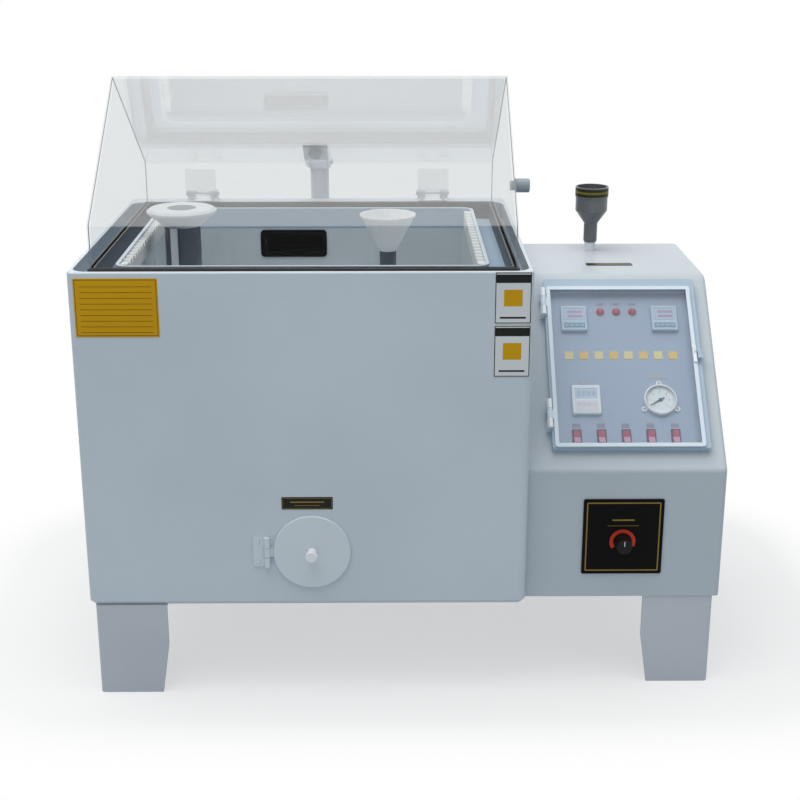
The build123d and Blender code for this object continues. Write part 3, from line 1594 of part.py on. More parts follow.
def door_latch():
    """Turn button on the door's right rail; a quarter turn brings its end under the keep."""
    n0 = latch_underside()
    bar = on_console(latch_u, latch_height, n0) * extrude(
        SlotOverall(latch_length, latch_width, rotation=90), latch_thickness
    )
    bar += on_console(latch_u, latch_height + latch_length / 4, n0) * extrude(
        Rectangle(latch_width / 3, latch_length / 3), latch_thickness + latch_grip
    )
    return bar + on_console(latch_u, latch_height, n0) * extrude(
        Circle(latch_post_radius), -latch_post_depth
    )


def latch_underside():
    """Height of the turn button's underside above the console face."""
    return frame_height + 2 * door_gap + door_thickness


def controller(place):
    """Square controller with a recessed screen and a lower key field."""
    at = on_console(*place)
    bezel = extrude(RectangleRounded(controller_width, controller_length, 2), bezel_height)
    bezel = chamfer(bezel.faces().sort_by(Axis.Z)[-1].edges(), bezel_chamfer)
    screen = Pos(0, controller_screen_up, bezel_height - screen_recess) * extrude(
        Rectangle(controller_field_width, controller_screen_length), screen_recess + 1
    )
    keys = Pos(0, -controller_keys_down, bezel_height - screen_recess / 2) * extrude(
        Rectangle(controller_field_width, controller_keys_length), screen_recess
    )
    body = Pos(0, 0, -controller_depth / 2) * Box(controller_body, controller_body, controller_depth)
    return (at * (bezel - screen - keys + body)).solid()


def controllers():
    """The two controllers."""
    return Compound(children=[controller(controller_left_at), controller(controller_right_at)])


def timer():
    """Digital timer with a screen above and a pale label field below."""
    bezel = extrude(RectangleRounded(timer_width, timer_length, 3), bezel_height)
    bezel = chamfer(bezel.faces().sort_by(Axis.Z)[-1].edges(), small_chamfer)
    screen = Pos(0, timer_screen_up, bezel_height - screen_recess) * extrude(
        Rectangle(timer_screen_width, timer_screen_length), screen_recess + 1
    )
    body = Pos(0, 0, -timer_depth / 2) * Box(timer_body, timer_body, timer_depth)
    return on_console(*timer_at) * (bezel - screen + body)


def lamps():
    """Three lamps, each a domed lens on a flange with its barrel behind the panel."""
    parts = []
    for u in lamp_places():
        dome = extrude(Circle(lamp_radius), lamp_dome)
        dome = chamfer(dome.faces().sort_by(Axis.Z)[-1].edges(), lamp_chamfer)
        flange = extrude(Circle(lamp_bezel_radius), lamp_flange)
        barrel = extrude(Circle(lamp_radius), -lamp_depth)
        parts.append((on_console(u, lamp_height) * (dome + flange + barrel)).solid())
    return Compound(children=parts)


def rocker_swing():
    """Farthest reach of the rocker's top corner from its pivot."""
    return hypot(rocker_length / 2, rocker_rise + rocker_pivot_depth)


def rocker_body_width():
    """Width of a rocker's housing behind the panel."""
    return rocker_width + 2 * rocker_gap + rocker_frame_wall


def rocker_body_length():
    """Length of a rocker's housing behind the panel."""
    return 2 * (rocker_swing() + rocker_gap) + rocker_frame_wall


def rocker_frames():
    """Black housings of the rocker switches."""
    cavity_width = rocker_width + 2 * rocker_gap
    cavity_length = 2 * (rocker_swing() + rocker_gap)
    parts = []
    for u in rocker_places():
        flange = extrude(
            RectangleRounded(
                cavity_width + 2 * rocker_frame_wall, cavity_length + 2 * rocker_frame_wall, 1.5
            ),
            rocker_frame_height,
        )
        body = Pos(0, 0, -rocker_depth / 2) * Box(rocker_body_width(), rocker_body_length(), rocker_depth)
        cavity = Pos(0, 0, rocker_frame_height - rocker_depth / 2) * Box(
            cavity_width, cavity_length, rocker_depth
        )
        pin = bar_x(
            rocker_pin_radius + running_clearance, -rocker_width, rocker_width,
            0, rocker_frame_height - rocker_pivot_depth,
        )
        parts.append((on_console(u, rocker_height) * (flange + body - cavity - pin)).solid())
    return Compound(children=parts)


def rocker(u):
    """Red rocker with a dished face, resting on one side."""
    half = rocker_length / 2
    deep = rocker_pivot_depth + rocker_keel
    outline = [
        (-half, 0), (-half, rocker_rise), (0, rocker_dip), (half, rocker_rise), (half, 0),
        (half / 2, -deep), (-half / 2, -deep),
    ]
    key = slab_yz(outline, -rocker_width / 2, rocker_width / 2)
    pin = rocker_width / 2 + rocker_pin_reach
    key += bar_x(rocker_pin_radius, -pin, pin, 0, -rocker_pivot_depth)
    tilt = Pos(0, 0, -rocker_pivot_depth) * Rot(-rocker_tilt, 0, 0) * Pos(0, 0, rocker_pivot_depth)
    return on_console(u, rocker_height, rocker_frame_height) * tilt * key


def gauge_case():
    """Round gauge case with three lugs and its back behind the panel."""
    case = extrude(Circle(gauge_radius), gauge_height)
    case = chamfer(case.faces().sort_by(Axis.Z)[-1].edges(), small_chamfer)
    for angle in (90, 210, 330):
        turn = Rot(0, 0, angle)
        lug = Pos(gauge_lug_from_centre, 0, 0) * Cylinder(
            gauge_lug_radius, gauge_lug_thickness, align=(Align.CENTER, Align.CENTER, Align.MIN)
        )
        reach = gauge_lug_from_centre - gauge_radius / 2
        lug += Pos(gauge_radius / 2 + reach / 2, 0, gauge_lug_thickness / 2) * Box(
            reach, gauge_lug_neck, gauge_lug_thickness
        )
        case += turn * lug
    case += Pos(0, 0, -gauge_depth / 2) * Cylinder(gauge_back_radius, gauge_depth)
    floor = gauge_wall
    case -= Pos(0, 0, floor) * extrude(Circle(gauge_radius - gauge_wall), gauge_height)
    return on_console(*gauge_at) * case


def gauge_dial():
    """White dial on the floor of the case, with the needle's post."""
    dial = Pos(0, 0, gauge_wall) * extrude(
        Circle(gauge_radius - gauge_wall - bore_clearance), gauge_dial_thickness
    )
    dial += Pos(0, 0, gauge_wall + gauge_dial_thickness) * extrude(
        Circle(needle_post_radius), needle_post_length
    )
    return on_console(*gauge_at) * dial


def gauge_needle():
    """Tapered needle with its hub, resting at the low end of the scale."""
    low = gauge_wall + gauge_dial_thickness + needle_above_dial
    blade = Polygon(
        (-needle_tail_half, -needle_tail), (needle_tail_half, -needle_tail), (needle_root_half, 0),
        (needle_tip_half, needle_length), (-needle_tip_half, needle_length), (-needle_root_half, 0),
        align=None,
    )
    needle = extrude(blade, needle_thickness) + extrude(Circle(needle_hub_radius), needle_thickness)
    needle -= Cylinder(needle_post_radius + running_clearance, 4 * needle_thickness)
    return on_console(*gauge_at) * Pos(0, 0, low) * Rot(0, 0, 180 + needle_rest_angle) * needle


def gauge_lens():
    """Clear lens in the mouth of the case."""
    top = gauge_height - 0.5
    return on_console(gauge_at[0], gauge_at[1], top - gauge_lens_thickness) * extrude(
        Circle(gauge_radius - gauge_wall - running_clearance), gauge_lens_thickness
    )


def regulator_plate():
    """Black square plate behind the regulator knob."""
    half = regulator_plate_width / 2
    plane = Plane(origin=(regulator_x, cabinet_front_y, regulator_height), x_dir=(1, 0, 0), z_dir=(0, -1, 0))
    plate = extrude(
        plane * RectangleRounded(2 * half, 2 * half, regulator_plate_radius), regulator_plate_thickness
    )
    return plate - bar_y(
        regulator_stem_radius + 3, regulator_x,
        cabinet_front_y - regulator_plate_thickness - 1, cabinet_front_y + 1, regulator_knob_z,
    )


def regulator_body():
    """Pressure regulator behind the plate, bolted to the inside of the cabinet front."""
    y0 = cabinet_front_y + cabinet_wall
    y1 = y0 + regulator_body_length
    body = bar_y(regulator_body_radius, regulator_x, y0, y1, regulator_knob_z)
    body = chamfer(body.faces().sort_by(Axis.Y)[-1].edges(), regulator_body_chamfer)
    reach = regulator_body_radius + 12
    body += bar_x(
        regulator_stem_radius * 2, regulator_x - reach, regulator_x + reach,
        (y0 + y1) / 2, regulator_knob_z,
    )
    bowl_top = regulator_knob_z - regulator_body_radius + 4
    body += post(
        regulator_body_radius * 0.7, regulator_x, (y0 + y1) / 2, bowl_top - 40, bowl_top
    )
    return body - bar_y(
        regulator_stem_radius + running_clearance, regulator_x, y0 - 1,
        y0 + regulator_stem_length, regulator_knob_z,
    )


def regulator_knob():
    """Ribbed black knob with its stem."""
    base = regulator_plate_thickness + cover_gap
    knob = Pos(0, 0, base) * extrude(Circle(regulator_knob_radius), regulator_knob_length, taper=4)
    knob = fillet(knob.faces().sort_by(Axis.Z)[-1].edges(), knob_top_round)
    ribs = [
        Rot(0, 0, 360 * i / knob_rib_count)
        * Pos(regulator_knob_radius - 0.4, 0, base + regulator_knob_length * 0.4)
        * Cylinder(knob_rib_radius, regulator_knob_length * 0.8)
        for i in range(knob_rib_count)
    ]
    knob -= ribs
    tail = cabinet_wall + regulator_stem_length - 2
    knob += Pos(0, 0, (base - tail) / 2) * Cylinder(regulator_stem_radius, base + tail)
    return Pos(regulator_x, cabinet_front_y, regulator_knob_z) * Rot(90, 0, 0) * knob


def fill_funnel():
    """Filling funnel: straight cup, cone and stem that sits over the fitting."""
    w = funnel_wall
    bore = fitting_spigot_radius + 2 * running_clearance
    points = [
        (bore, funnel_stem_bottom), (funnel_stem_radius - 1, funnel_stem_bottom),
        (funnel_stem_radius, funnel_stem_bottom + 2),
        (funnel_stem_radius, funnel_cone_bottom), (funnel_mouth_radius, funnel_cup_bottom),
        (funnel_mouth_radius, funnel_top - funnel_band_height),
        (funnel_band_radius, funnel_top - funnel_band_height), (funnel_band_radius, funnel_top),
        (funnel_mouth_radius - w, funnel_top), (funnel_mouth_radius - w, funnel_cup_bottom + 1),
        (bore, funnel_cone_bottom + w),
    ]
    return turned(points, funnel_x, funnel_y)


def saturator_y():
    """The saturator stands in front of the funnel's pipe."""
    return funnel_y - saturator_from_funnel


def fill_fitting():
    """White fitting through the cabinet's top, with the pipe down to the saturator's neck."""
    z0 = cabinet_floor_z + saturator_height
    z1 = funnel_stem_bottom - cover_gap
    points = [
        (fitting_bore, z0), (fitting_spigot_radius, z0), (fitting_spigot_radius, cabinet_top_height),
        (fitting_radius, cabinet_top_height), (fitting_radius, z1 - 1), (fitting_radius - 1, z1),
        (fitting_spigot_radius, z1), (fitting_spigot_radius, z1 + fitting_spigot_length),
        (fitting_bore, z1 + fitting_spigot_length),
    ]
    return turned(points, funnel_x, funnel_y)


def air_saturator():
    """Pressure vessel with domed ends on a foot ring, and the neck that the fitting fills."""
    z0 = cabinet_floor_z
    low = z0 + saturator_foot_height + saturator_dome
    high = z0 + saturator_height - saturator_dome - saturator_neck
    r = saturator_radius
    turns = [radians(90 * i / saturator_dish_steps) for i in range(saturator_dish_steps + 1)]
    end = [(r * sin(turn), saturator_dome * cos(turn)) for turn in turns]
    lower = [(x, low - drop) for x, drop in end]
    upper = [(x, high + lift) for x, lift in reversed(end)]
    profile = Polyline(*lower, *upper, close=True)
    vessel = revolve(Plane.XZ * make_face(profile), Axis.Z)
    ring = Pos(0, 0, (z0 + low) / 2) * Cylinder(r * 0.9, low - z0)
    ring -= Pos(0, 0, (z0 + low) / 2) * Cylinder(r * 0.9 - 4, low - z0)
    vessel = Pos(funnel_x, saturator_y(), 0) * (vessel + ring)
    top = z0 + saturator_height
    vessel += post(saturator_neck_radius, funnel_x, funnel_y, high, top)
    return vessel


def brine_tank():
    """Moulded brine tank with a screw cap."""
    x0 = cabinet_inner_x + brine_from_cabinet_left
    y0 = front_y + brine_from_front
    z0 = cabinet_floor_z
    tank = rounded_block(
        x0, x0 + brine_width, y0, y0 + brine_depth, z0, z0 + brine_height, brine_corner_radius
    )
    tank = fillet(tank.faces().sort_by(Axis.Z)[-1].edges(), brine_corner_radius / 2)
    top = z0 + brine_height
    return tank + post(
        brine_cap_radius, x0 + brine_width / 2, y0 + brine_depth / 2, top, top + brine_cap_height
    )


def air_valves():
    """Solenoid valves in a row on the cabinet floor."""
    x = right_x - cabinet_wall - 2 * valve_size
    y0 = front_y + brine_from_front
    z0 = cabinet_floor_z
    parts = []
    for i in range(valve_count):
        y = y0 + i * valve_pitch
        body = block(
            x - valve_size / 2, x + valve_size / 2, y - valve_size / 2, y + valve_size / 2,
            z0, z0 + valve_size,
        )
        coil = post(valve_size * 0.55, x, y, z0 + valve_size, z0 + valve_size + valve_coil_height)
        ports = bar_x(valve_size * 0.25, x - valve_size, x + valve_size, y, z0 + valve_size / 2)
        parts.append((body + coil + ports).solid())
    return Compound(children=parts)


def power_gland():
    """Cable gland for the supply lead, with its lock nut inside."""
    x = inlet_places()[0]
    z = inlet_z()
    y = cabinet_back_y
    points = [
        (gland_bore, -cabinet_wall - 5), (gland_radius, -cabinet_wall - 5), (gland_radius, -cabinet_wall),
        (gland_radius * 0.7, -cabinet_wall), (gland_radius * 0.7, 0), (gland_radius, 0),
        (gland_radius, 8), (gland_radius * 0.88, gland_length), (gland_bore, gland_length),
    ]
    profile = Plane.XZ * Polygon(*points, align=None)
    return Pos(x, y, z) * Rot(-90, 0, 0) * revolve(profile, Axis.Z)


def air_inlet():
    """Hose tail for the compressed air, with its lock nut inside."""
    x = inlet_places()[1]
    z = inlet_z()
    y = cabinet_back_y
    r = air_inlet_radius
    points = [
        (r * 0.5, -cabinet_wall - 4), (r * 1.8, -cabinet_wall - 4), (r * 1.8, -cabinet_wall),
        (r, -cabinet_wall), (r, 0), (r * 1.8, 0), (r * 1.8, 6), (r * 0.9, 6), (r * 0.9, 10),
    ]
    for i in range(3):
        start = 10 + i * (air_inlet_length - 10) / 3
        points += [(r * 1.15, start), (r * 0.8, start + (air_inlet_length - 10) / 3)]
    points.append((r * 0.5, air_inlet_length))
    profile = Plane.XZ * Polygon(*points, align=None)
    return Pos(x, y, z) * Rot(-90, 0, 0) * revolve(profile, Axis.Z)


def rear_fittings():
    """Power gland and air inlet at the cabinet's back."""
    return Compound(children=[power_gland().solid(), air_inlet().solid()])


def nodes():
    """Every piece by its node name."""
    parts = {
        "tank_shell": tank_shell(),
        "tank_liner": tank_liner(),
        "insulation": insulation(),
        "notched_rails": notched_rails(),
        "false_floor": false_floor(),
        "heater": heater(),
        "feed_pipes": feed_pipes(),
        "tower_foot": tower_foot(),
        "tower_tube": tower_tube(),
        "tower_cap": tower_cap(),
        "spray_nozzle": spray_nozzle(),
        "collector_funnel": collector_funnel(),
        "collector_stem": collector_stem(),
        "vent_duct": vent_duct(),
        "drain_pipe": drain_pipe(),
        "lid_shell": lid_shell(),
        "lid_seal": lid_seal(),
        "lid_plug": lid_plug(),
        "lid_hinge_brackets": lid_hinge_brackets(),
        "lid_hinge_leaves": lid_hinge_leaves(),
        "lid_arm": lid_arm(),
        "lid_fixing": lid_fixing(),
        "lift_rod": lift_rod(),
        "lift_sleeve": lift_sleeve(),
        "lift_barrel": lift_barrel(),
        "lift_clamp": lift_clamp(),
        "front_cover": front_cover(),
        "cover_hinge": cover_hinge(),
        "cover_knob": cover_knob(),
        "cabinet_shell": cabinet_shell(),
        "cabinet_back": cabinet_back(),
        "panel_frame": panel_frame(),
        "control_panel": control_panel(),
        "panel_door": panel_door(),
        "door_window": door_window(),
        "door_hinges": door_hinges(),
        "door_latch": door_latch(),
        "controllers": controllers(),
        "timer": timer(),
        "lamps": lamps(),
        "rocker_frames": rocker_frames(),
        "gauge_case": gauge_case(),
        "gauge_dial": gauge_dial(),
        "gauge_needle": gauge_needle(),
        "gauge_lens": gauge_lens(),
        "regulator_plate": regulator_plate(),
        "regulator_body": regulator_body(),
        "regulator_knob": regulator_knob(),
        "fill_funnel": fill_funnel(),
        "fill_fitting": fill_fitting(),
        "air_saturator": air_saturator(),
        "brine_tank": brine_tank(),
        "air_valves": air_valves(),
        "rear_fittings": rear_fittings(),
        "feet": feet(),
    }
    for i, u in enumerate(rocker_places()):
        parts[f"rocker_{i + 1}"] = rocker(u)
    return parts


def main():
    os.makedirs("parts", exist_ok=True)
    parts = nodes()
    for name, shape in parts.items():
        save(shape, name)


main()
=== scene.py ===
import json
from math import atan2, cos, pi, radians, sin

import bmesh
import bpy
from bpy.props import FloatProperty, FloatVectorProperty, IntProperty, PointerProperty
from mathutils import Matrix, Vector

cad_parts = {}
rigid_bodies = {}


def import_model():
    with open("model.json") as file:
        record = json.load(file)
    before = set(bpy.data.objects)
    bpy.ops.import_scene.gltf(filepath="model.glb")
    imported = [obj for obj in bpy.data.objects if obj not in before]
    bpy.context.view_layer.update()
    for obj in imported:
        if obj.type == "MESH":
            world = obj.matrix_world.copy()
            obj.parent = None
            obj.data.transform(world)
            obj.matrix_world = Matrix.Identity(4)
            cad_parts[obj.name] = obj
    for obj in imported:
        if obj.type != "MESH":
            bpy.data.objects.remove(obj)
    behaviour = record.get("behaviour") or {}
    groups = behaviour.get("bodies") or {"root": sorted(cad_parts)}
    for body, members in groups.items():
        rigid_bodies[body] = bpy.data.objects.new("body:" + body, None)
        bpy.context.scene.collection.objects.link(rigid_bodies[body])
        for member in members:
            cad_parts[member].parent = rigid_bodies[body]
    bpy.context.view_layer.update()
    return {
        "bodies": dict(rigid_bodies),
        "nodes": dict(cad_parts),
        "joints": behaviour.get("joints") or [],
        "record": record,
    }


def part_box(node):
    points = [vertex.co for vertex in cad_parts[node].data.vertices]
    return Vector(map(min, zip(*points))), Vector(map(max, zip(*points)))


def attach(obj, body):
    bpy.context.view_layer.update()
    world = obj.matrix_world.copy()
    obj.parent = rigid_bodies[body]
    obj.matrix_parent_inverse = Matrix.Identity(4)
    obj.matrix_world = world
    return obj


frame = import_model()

bl_info = {
    "name": "Salt Spray Test Chamber",
    "version": (1, 0, 0),
    "blender": (4, 5, 0),
    "location": "View3D > Sidebar > Test Chamber",
    "description": "Dresses the packed test chamber with finishes, plates, marks and fasteners",
    "category": "Object",
}

NODES = frame["nodes"]
MM = 0.001

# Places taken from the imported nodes, in metres.
TANK_LOW, TANK_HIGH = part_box("tank_shell")
CABINET_LOW, CABINET_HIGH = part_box("cabinet_shell")
PLATE_LOW, PLATE_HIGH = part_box("regulator_plate")
KNOB_LOW, KNOB_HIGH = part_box("regulator_knob")
HINGE_LOW, HINGE_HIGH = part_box("cover_hinge")
BACK_LOW, BACK_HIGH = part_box("cabinet_back")
CLAMP_LOW, CLAMP_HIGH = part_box("lift_clamp")
BRACKET_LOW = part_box("lid_hinge_brackets")[0]
FUNNEL_LOW, FUNNEL_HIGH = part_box("fill_funnel")
CONSOLE_FOLD = Vector((CABINET_LOW.x, CABINET_LOW.y, 402 * MM))
SLOPE = cos(radians(45))

# Places on the console, in millimetres across and up the slope.
CONTROLLERS = ((96.0, 294.0), (257.0, 294.0))
TIMER = (108.0, 132.0)
GAUGE = (236.5, 131.7)
LAMPS = (144.5, 173.2, 201.9)
LAMP_HEIGHT = 310.0
ROCKERS = (88.0, 130.5, 173.0, 215.5, 258.0)
ROCKER_HEIGHT = 61.0
BEZEL_HEIGHT = 8.0
SCREEN_HEIGHT = BEZEL_HEIGHT - 1.0
CONTROLLER_SCREEN_UP, CONTROLLER_KEYS_DOWN = 8.0, 15.0
TIMER_SCREEN_UP = 11.2
TILE_FIRST, TILE_LAST, TILE_HEIGHT = 84.0, 267.0, 222.0
GAUGE_LUG_RADIUS = 33.0

# Radii of the gauge's marks, its arc and its numerals, in millimetres.
MARK_RADIUS, ARC_RADII, NUMERAL_RADIUS = 23.6, (23.7, 24.1), 15.6

# Labels above their instruments, in millimetres up the slope from the middle of each.
CONTROLLER_LABEL_UP, TIMER_LABEL_UP, GAUGE_LABEL_UP, LAMP_LABEL_UP, ROCKER_LABEL_UP = 31, 36, 49, 16, 23.5

# Screws of the lid's hinges, in millimetres to the right of the tank's middle.
LID_HINGE_SCREWS = (-251, -209, 209, 251)

# Places of plates, in millimetres from the tank's left side, and up from the floor or back from its front.
YELLOW_PLATE = (78.5, 696.0)
WHITE_CARDS = ((716.0, 711.0), (716.0, 622.0))
LOW_PLATE = (378.0, 357.0)
TOP_STRIP = (928.0, 388.0)

# How strongly the coats of the clear sheets bend light, which gives the sheets their haze.
LID_COAT = 2.15
WINDOW_COAT = 1.6

# Bending of light that suits thin flat sheets, whose real bend leaves no shift to see.
THIN_SHEET = 1.0

# Thickness of printed borders and rules, and of the fine lines on the black plates, in millimetres.
INK, FINE_INK = 0.15, 0.12

# The lid's grey edges, painted shade for how the clear sheets' edges look: how far inside its sheets, and
# how wide, in millimetres.
EDGE_INSET, EDGE_WIDTH = 2.5, 1.4

# Dark slats in the vent, painted shade that hides the way through it: how many, their spacing and their
# places back and down, in millimetres.
SLATS, SLAT_STEP, SLAT_BACK, SLAT_DOWN = 5, 7, 20, 27

# The riser pipe's place left of the tower's middle and before its tube, and its radii, in millimetres; the
# white pipe is partly a thin inner pipe and partly a painted highlight of the glossy tube.
RISER_LEFT, RISER_FRONT, RISER_FOOT, RISER_RADIUS = 10, 8.5, 8, 6.5

# Half the floor's side, and how far beyond the object it turns to plain white, in metres.
FLOOR_HALF = 60.0
VEIL_REACH = (0.04, 0.42)

# The floor's share of plain white nearest the object.
VEIL = 0.55

# Each light's side and place, in metres, and its colour.
KEY_LIGHT = (3.2, (-0.5, -0.4, 3.6), (1.0, 0.97, 0.93))
FILL_LIGHT = (2.2, (3.0, -1.8, 1.7), (0.92, 0.96, 1.0))
AIM = Vector((0.0, 0.0, 0.5))


def shade(red, green, blue):
    """Linear colour from a display colour of 0 to 255 a channel."""
    def linear(value):
        value = value / 255
        return value / 12.92 if value <= 0.04045 else ((value + 0.055) / 1.055) ** 2.4
    return (linear(red), linear(green), linear(blue), 1.0)


def scaled(colour, by):
    """A colour made lighter or darker, and kept under white."""
    return tuple(min(0.98, channel * by) for channel in colour[:3]) + (1.0,)


# Properties


def colour_property(name, description, *channels):
    return FloatVectorProperty(
        name=name, description=description, subtype="COLOR", size=4, min=0.0, max=1.0,
        default=shade(*channels),
    )


def number_property(name, description, default, **limits):
    return FloatProperty(name=name, description=description, default=default, **limits)


def length_property(name, description, millimetres):
    return number_property(
        name, description, millimetres * MM, unit="LENGTH", subtype="DISTANCE", min=0.0
    )


class ChamberColours(bpy.types.PropertyGroup):
    """Colours of the chamber's finishes."""

    housing: colour_property("Housing", "Tank", 213, 222, 230)
    # Painted shade: the cabinet is a darker copy of the tank's colour, for the shade of the tank standing
    # before it.
    cabinet: colour_property("Cabinet", "Control cabinet", 199, 208, 215)
    feet: colour_property("Feet", "Bent-plate feet", 203, 208, 216)
    # The trough's colour is painted shade: it is darker than the skin because the groove lies in shade.
    trough: colour_property("Trough", "Wet trough round the chamber", 172, 194, 214)
    lining: colour_property("Chamber lining", "Inside of the chamber", 218, 226, 231)
    cover: colour_property("Round cover", "Cover on the tank's front", 218, 227, 234)
    # Painted highlight: the knob is made lighter for the highlight on its centre.
    knob: colour_property("Cover knob", "Knob of the round cover", 244, 247, 250)
    lid: colour_property("Lid acrylic", "Tint of the clear lid", 237, 239, 240)
    window: colour_property("Door window", "Tint of the panel door's window", 250, 252, 254)
    door: colour_property("Door rim", "Rim of the clear panel door", 222, 235, 246)
    frame: colour_property("Panel frame", "Raised frame round the panel", 174, 194, 211)
    panel: colour_property("Control panel", "Paint of the instrument panel", 100, 139, 175)
    tower: colour_property("Spray tower", "Tube of the spray tower", 94, 100, 110)
    white: colour_property("White plastic", "Tower cap, nozzle and fittings", 226, 231, 235)
    rail: colour_property("Rails", "Notched rails in the chamber", 214, 216, 214)
    seal: colour_property("Seal", "Rubber seal of the lid", 30, 32, 34)
    black: colour_property("Black plastic", "Knob and plates", 13, 13, 14)
    red: colour_property("Red plastic", "Rockers and lamps", 176, 52, 94)
    yellow: colour_property("Yellow plate", "Plain plate on the tank's front", 216, 163, 6)
    gold: colour_property("Gold line", "Lines on the black plates", 150, 124, 52)
    label: colour_property("Panel labels", "Small plates on the console", 168, 178, 190)
    funnel: colour_property("Filling funnel", "Grey plastic of the filling funnel", 102, 104, 108)
    steel: colour_property("Steel", "Brushed steel parts", 196, 198, 200)
    lift: colour_property("Lid lift", "Pale enamel of the lift and the lid's hinges", 240, 243, 247)
    floor: colour_property("Floor", "Plain pale floor", 250, 250, 250)
    floor_bounce: colour_property("Floor bounce", "What the floor throws back", 196, 203, 209)


class ChamberSizes(bpy.types.PropertyGroup):
    """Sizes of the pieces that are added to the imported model."""

    plate_width: length_property("Yellow plate width", "Width of the plain yellow plate", 135)
    plate_height: length_property("Yellow plate height", "Height of the plain yellow plate", 97)
    name_plate_width: length_property("Black plate width", "Width of the low black plate", 86)
    name_plate_height: length_property("Black plate height", "Height of the low black plate", 22)
    card_width: length_property("White card width", "Width of the two white cards", 60)
    card_height: length_property("White card height", "Height of the upper white card", 86)
    strip_width: length_property("Top strip width", "Width of the strip on the cabinet's top", 86)
    strip_depth: length_property("Top strip depth", "Depth of the strip on the cabinet's top", 20)
    tile: length_property("Tile", "Side of the yellow tiles on the console", 15.5)
    screw_radius: length_property("Screw radius", "Radius of the larger screw heads", 3.6)
    small_screw_radius: length_property("Small screw radius", "Radius of the smaller screw heads", 2.6)
    sheet: length_property("Plate thickness", "Thickness of the printed plates", 0.7)
    edge: length_property("Edge softness", "Radius of the soft edges on moulded parts", 0.9)
    tile_count: IntProperty(
        name="Tile count", description="Number of yellow tiles in the row", default=8, min=1, max=20
    )


class ChamberStage(bpy.types.PropertyGroup):
    """Camera, light and floor."""

    focal: number_property("Focal length", "Focal length on a 36 mm sensor", 65.18, min=10.0, unit="CAMERA")
    camera_place: FloatVectorProperty(
        name="Camera place", description="Where the camera stands", subtype="XYZ", unit="LENGTH",
        default=(-0.0320, -2.6212, 1.2819),
    )
    camera_down: number_property("Camera down", "How far it looks down", radians(18.20), unit="ROTATION")
    camera_turn: number_property("Camera turn", "How far it turns right", radians(0.52), unit="ROTATION")
    key_power: number_property("Key light", "Large light above", 92.0, min=0.0, unit="POWER")
    fill_power: number_property("Fill light", "Light from the right front", 4.0, min=0.0, unit="POWER")
    sky: number_property("Sky", "Strength of the even light all round", 0.42, min=0.0, max=2.0,
                         subtype="FACTOR")


# Node building

VECTOR_SOCKETS = ("Place", "Middle", "Half", "Normal")
UP = (0.0, 0.0, 1.0)


def feed(tree, socket, value):
    """Joins a socket to another socket, or sets its value."""
    if isinstance(value, bpy.types.NodeSocket):
        tree.links.new(value, socket)
    else:
        socket.default_value = value


def put(tree, kind, *values, **settings):
    """A new node whose first inputs are fed in order."""
    node = tree.nodes.new(kind)
    for key, value in settings.items():
        setattr(node, key, value)
    for socket, value in zip(node.inputs, values):
        feed(tree, socket, value)
    return node


def fill(tree, node, **values):
    """Feeds a node's inputs by name, with _ for each space, and returns its outputs."""
    for label, value in values.items():
        feed(tree, node.inputs[label.replace("_", " ")], value)
    return node.outputs


def calc(tree, operation, first, second=0.0, clamp=False):
    return put(tree, "ShaderNodeMath", first, second, operation=operation, use_clamp=clamp).outputs[0]


def times(tree, first, second):
    return calc(tree, "MULTIPLY", first, second)


def vector_calc(tree, operation, first, second=(0.0, 0.0, 0.0)):
    node = put(tree, "ShaderNodeVectorMath", first, second, operation=operation)
    return node.outputs["Value" if operation in ("DOT_PRODUCT", "LENGTH") else "Vector"]


def mix_colours(tree, factor, first, second):
    node = put(tree, "ShaderNodeMix", factor, data_type="RGBA")
    feed(tree, node.inputs[6], first)
    feed(tree, node.inputs[7], second)
    return node.outputs[2]


def mix_shaders(tree, factor, first, second):
    return put(tree, "ShaderNodeMixShader", factor, first.outputs[0], second.outputs[0]).outputs[0]


def noise(tree, place, scale, detail=3.0, roughness=0.55):
    node = put(tree, "ShaderNodeTexNoise")
    return fill(tree, node, Vector=place, Scale=scale, Detail=detail, Roughness=roughness)[0]


def ramp(tree, value, low, high):
    node = put(tree, "ShaderNodeMapRange", value, low, high, clamp=True, interpolation_type="SMOOTHSTEP")
    return node.outputs["Result"]


def facing_up(tree):
    """1 on faces that look up, 0 on upright ones and -1 on those that look down."""
    return vector_calc(tree, "DOT_PRODUCT", put(tree, "ShaderNodeNewGeometry").outputs["Normal"], UP)


def shared_group(name, inputs, outputs):
    """Lets a function build a node group with named sockets when it is first asked for."""
    def decorate(build):
        def group():
            if name in bpy.data.node_groups:
                return bpy.data.node_groups[name]
            tree = bpy.data.node_groups.new(name, "ShaderNodeTree")
            for label in (*inputs, *outputs):
                kind = "NodeSocketVector" if label in VECTOR_SOCKETS else "NodeSocketFloat"
                side = "INPUT" if label in inputs else "OUTPUT"
                socket = tree.interface.new_socket(name=label, in_out=side, socket_type=kind)
                if inputs.get(label) is not None:
                    socket.default_value = inputs[label]
            results = build(tree, put(tree, "NodeGroupInput").outputs)
            put(tree, "NodeGroupOutput", *results)
            return tree
        return group
    return decorate


@shared_group("Surface Grain", {"Place": None, "Grains per metre": 900.0}, ("Height", "Tone"))
def grain_group(tree, given):
    """Fine surface grain and slow changes of tone."""
    fine = noise(tree, given["Place"], given["Grains per metre"], 2.0, 0.6)
    slow = noise(tree, given["Place"], 3.2, 4.0, 0.5)
    return fine, ramp(tree, slow, 0.3, 0.7)


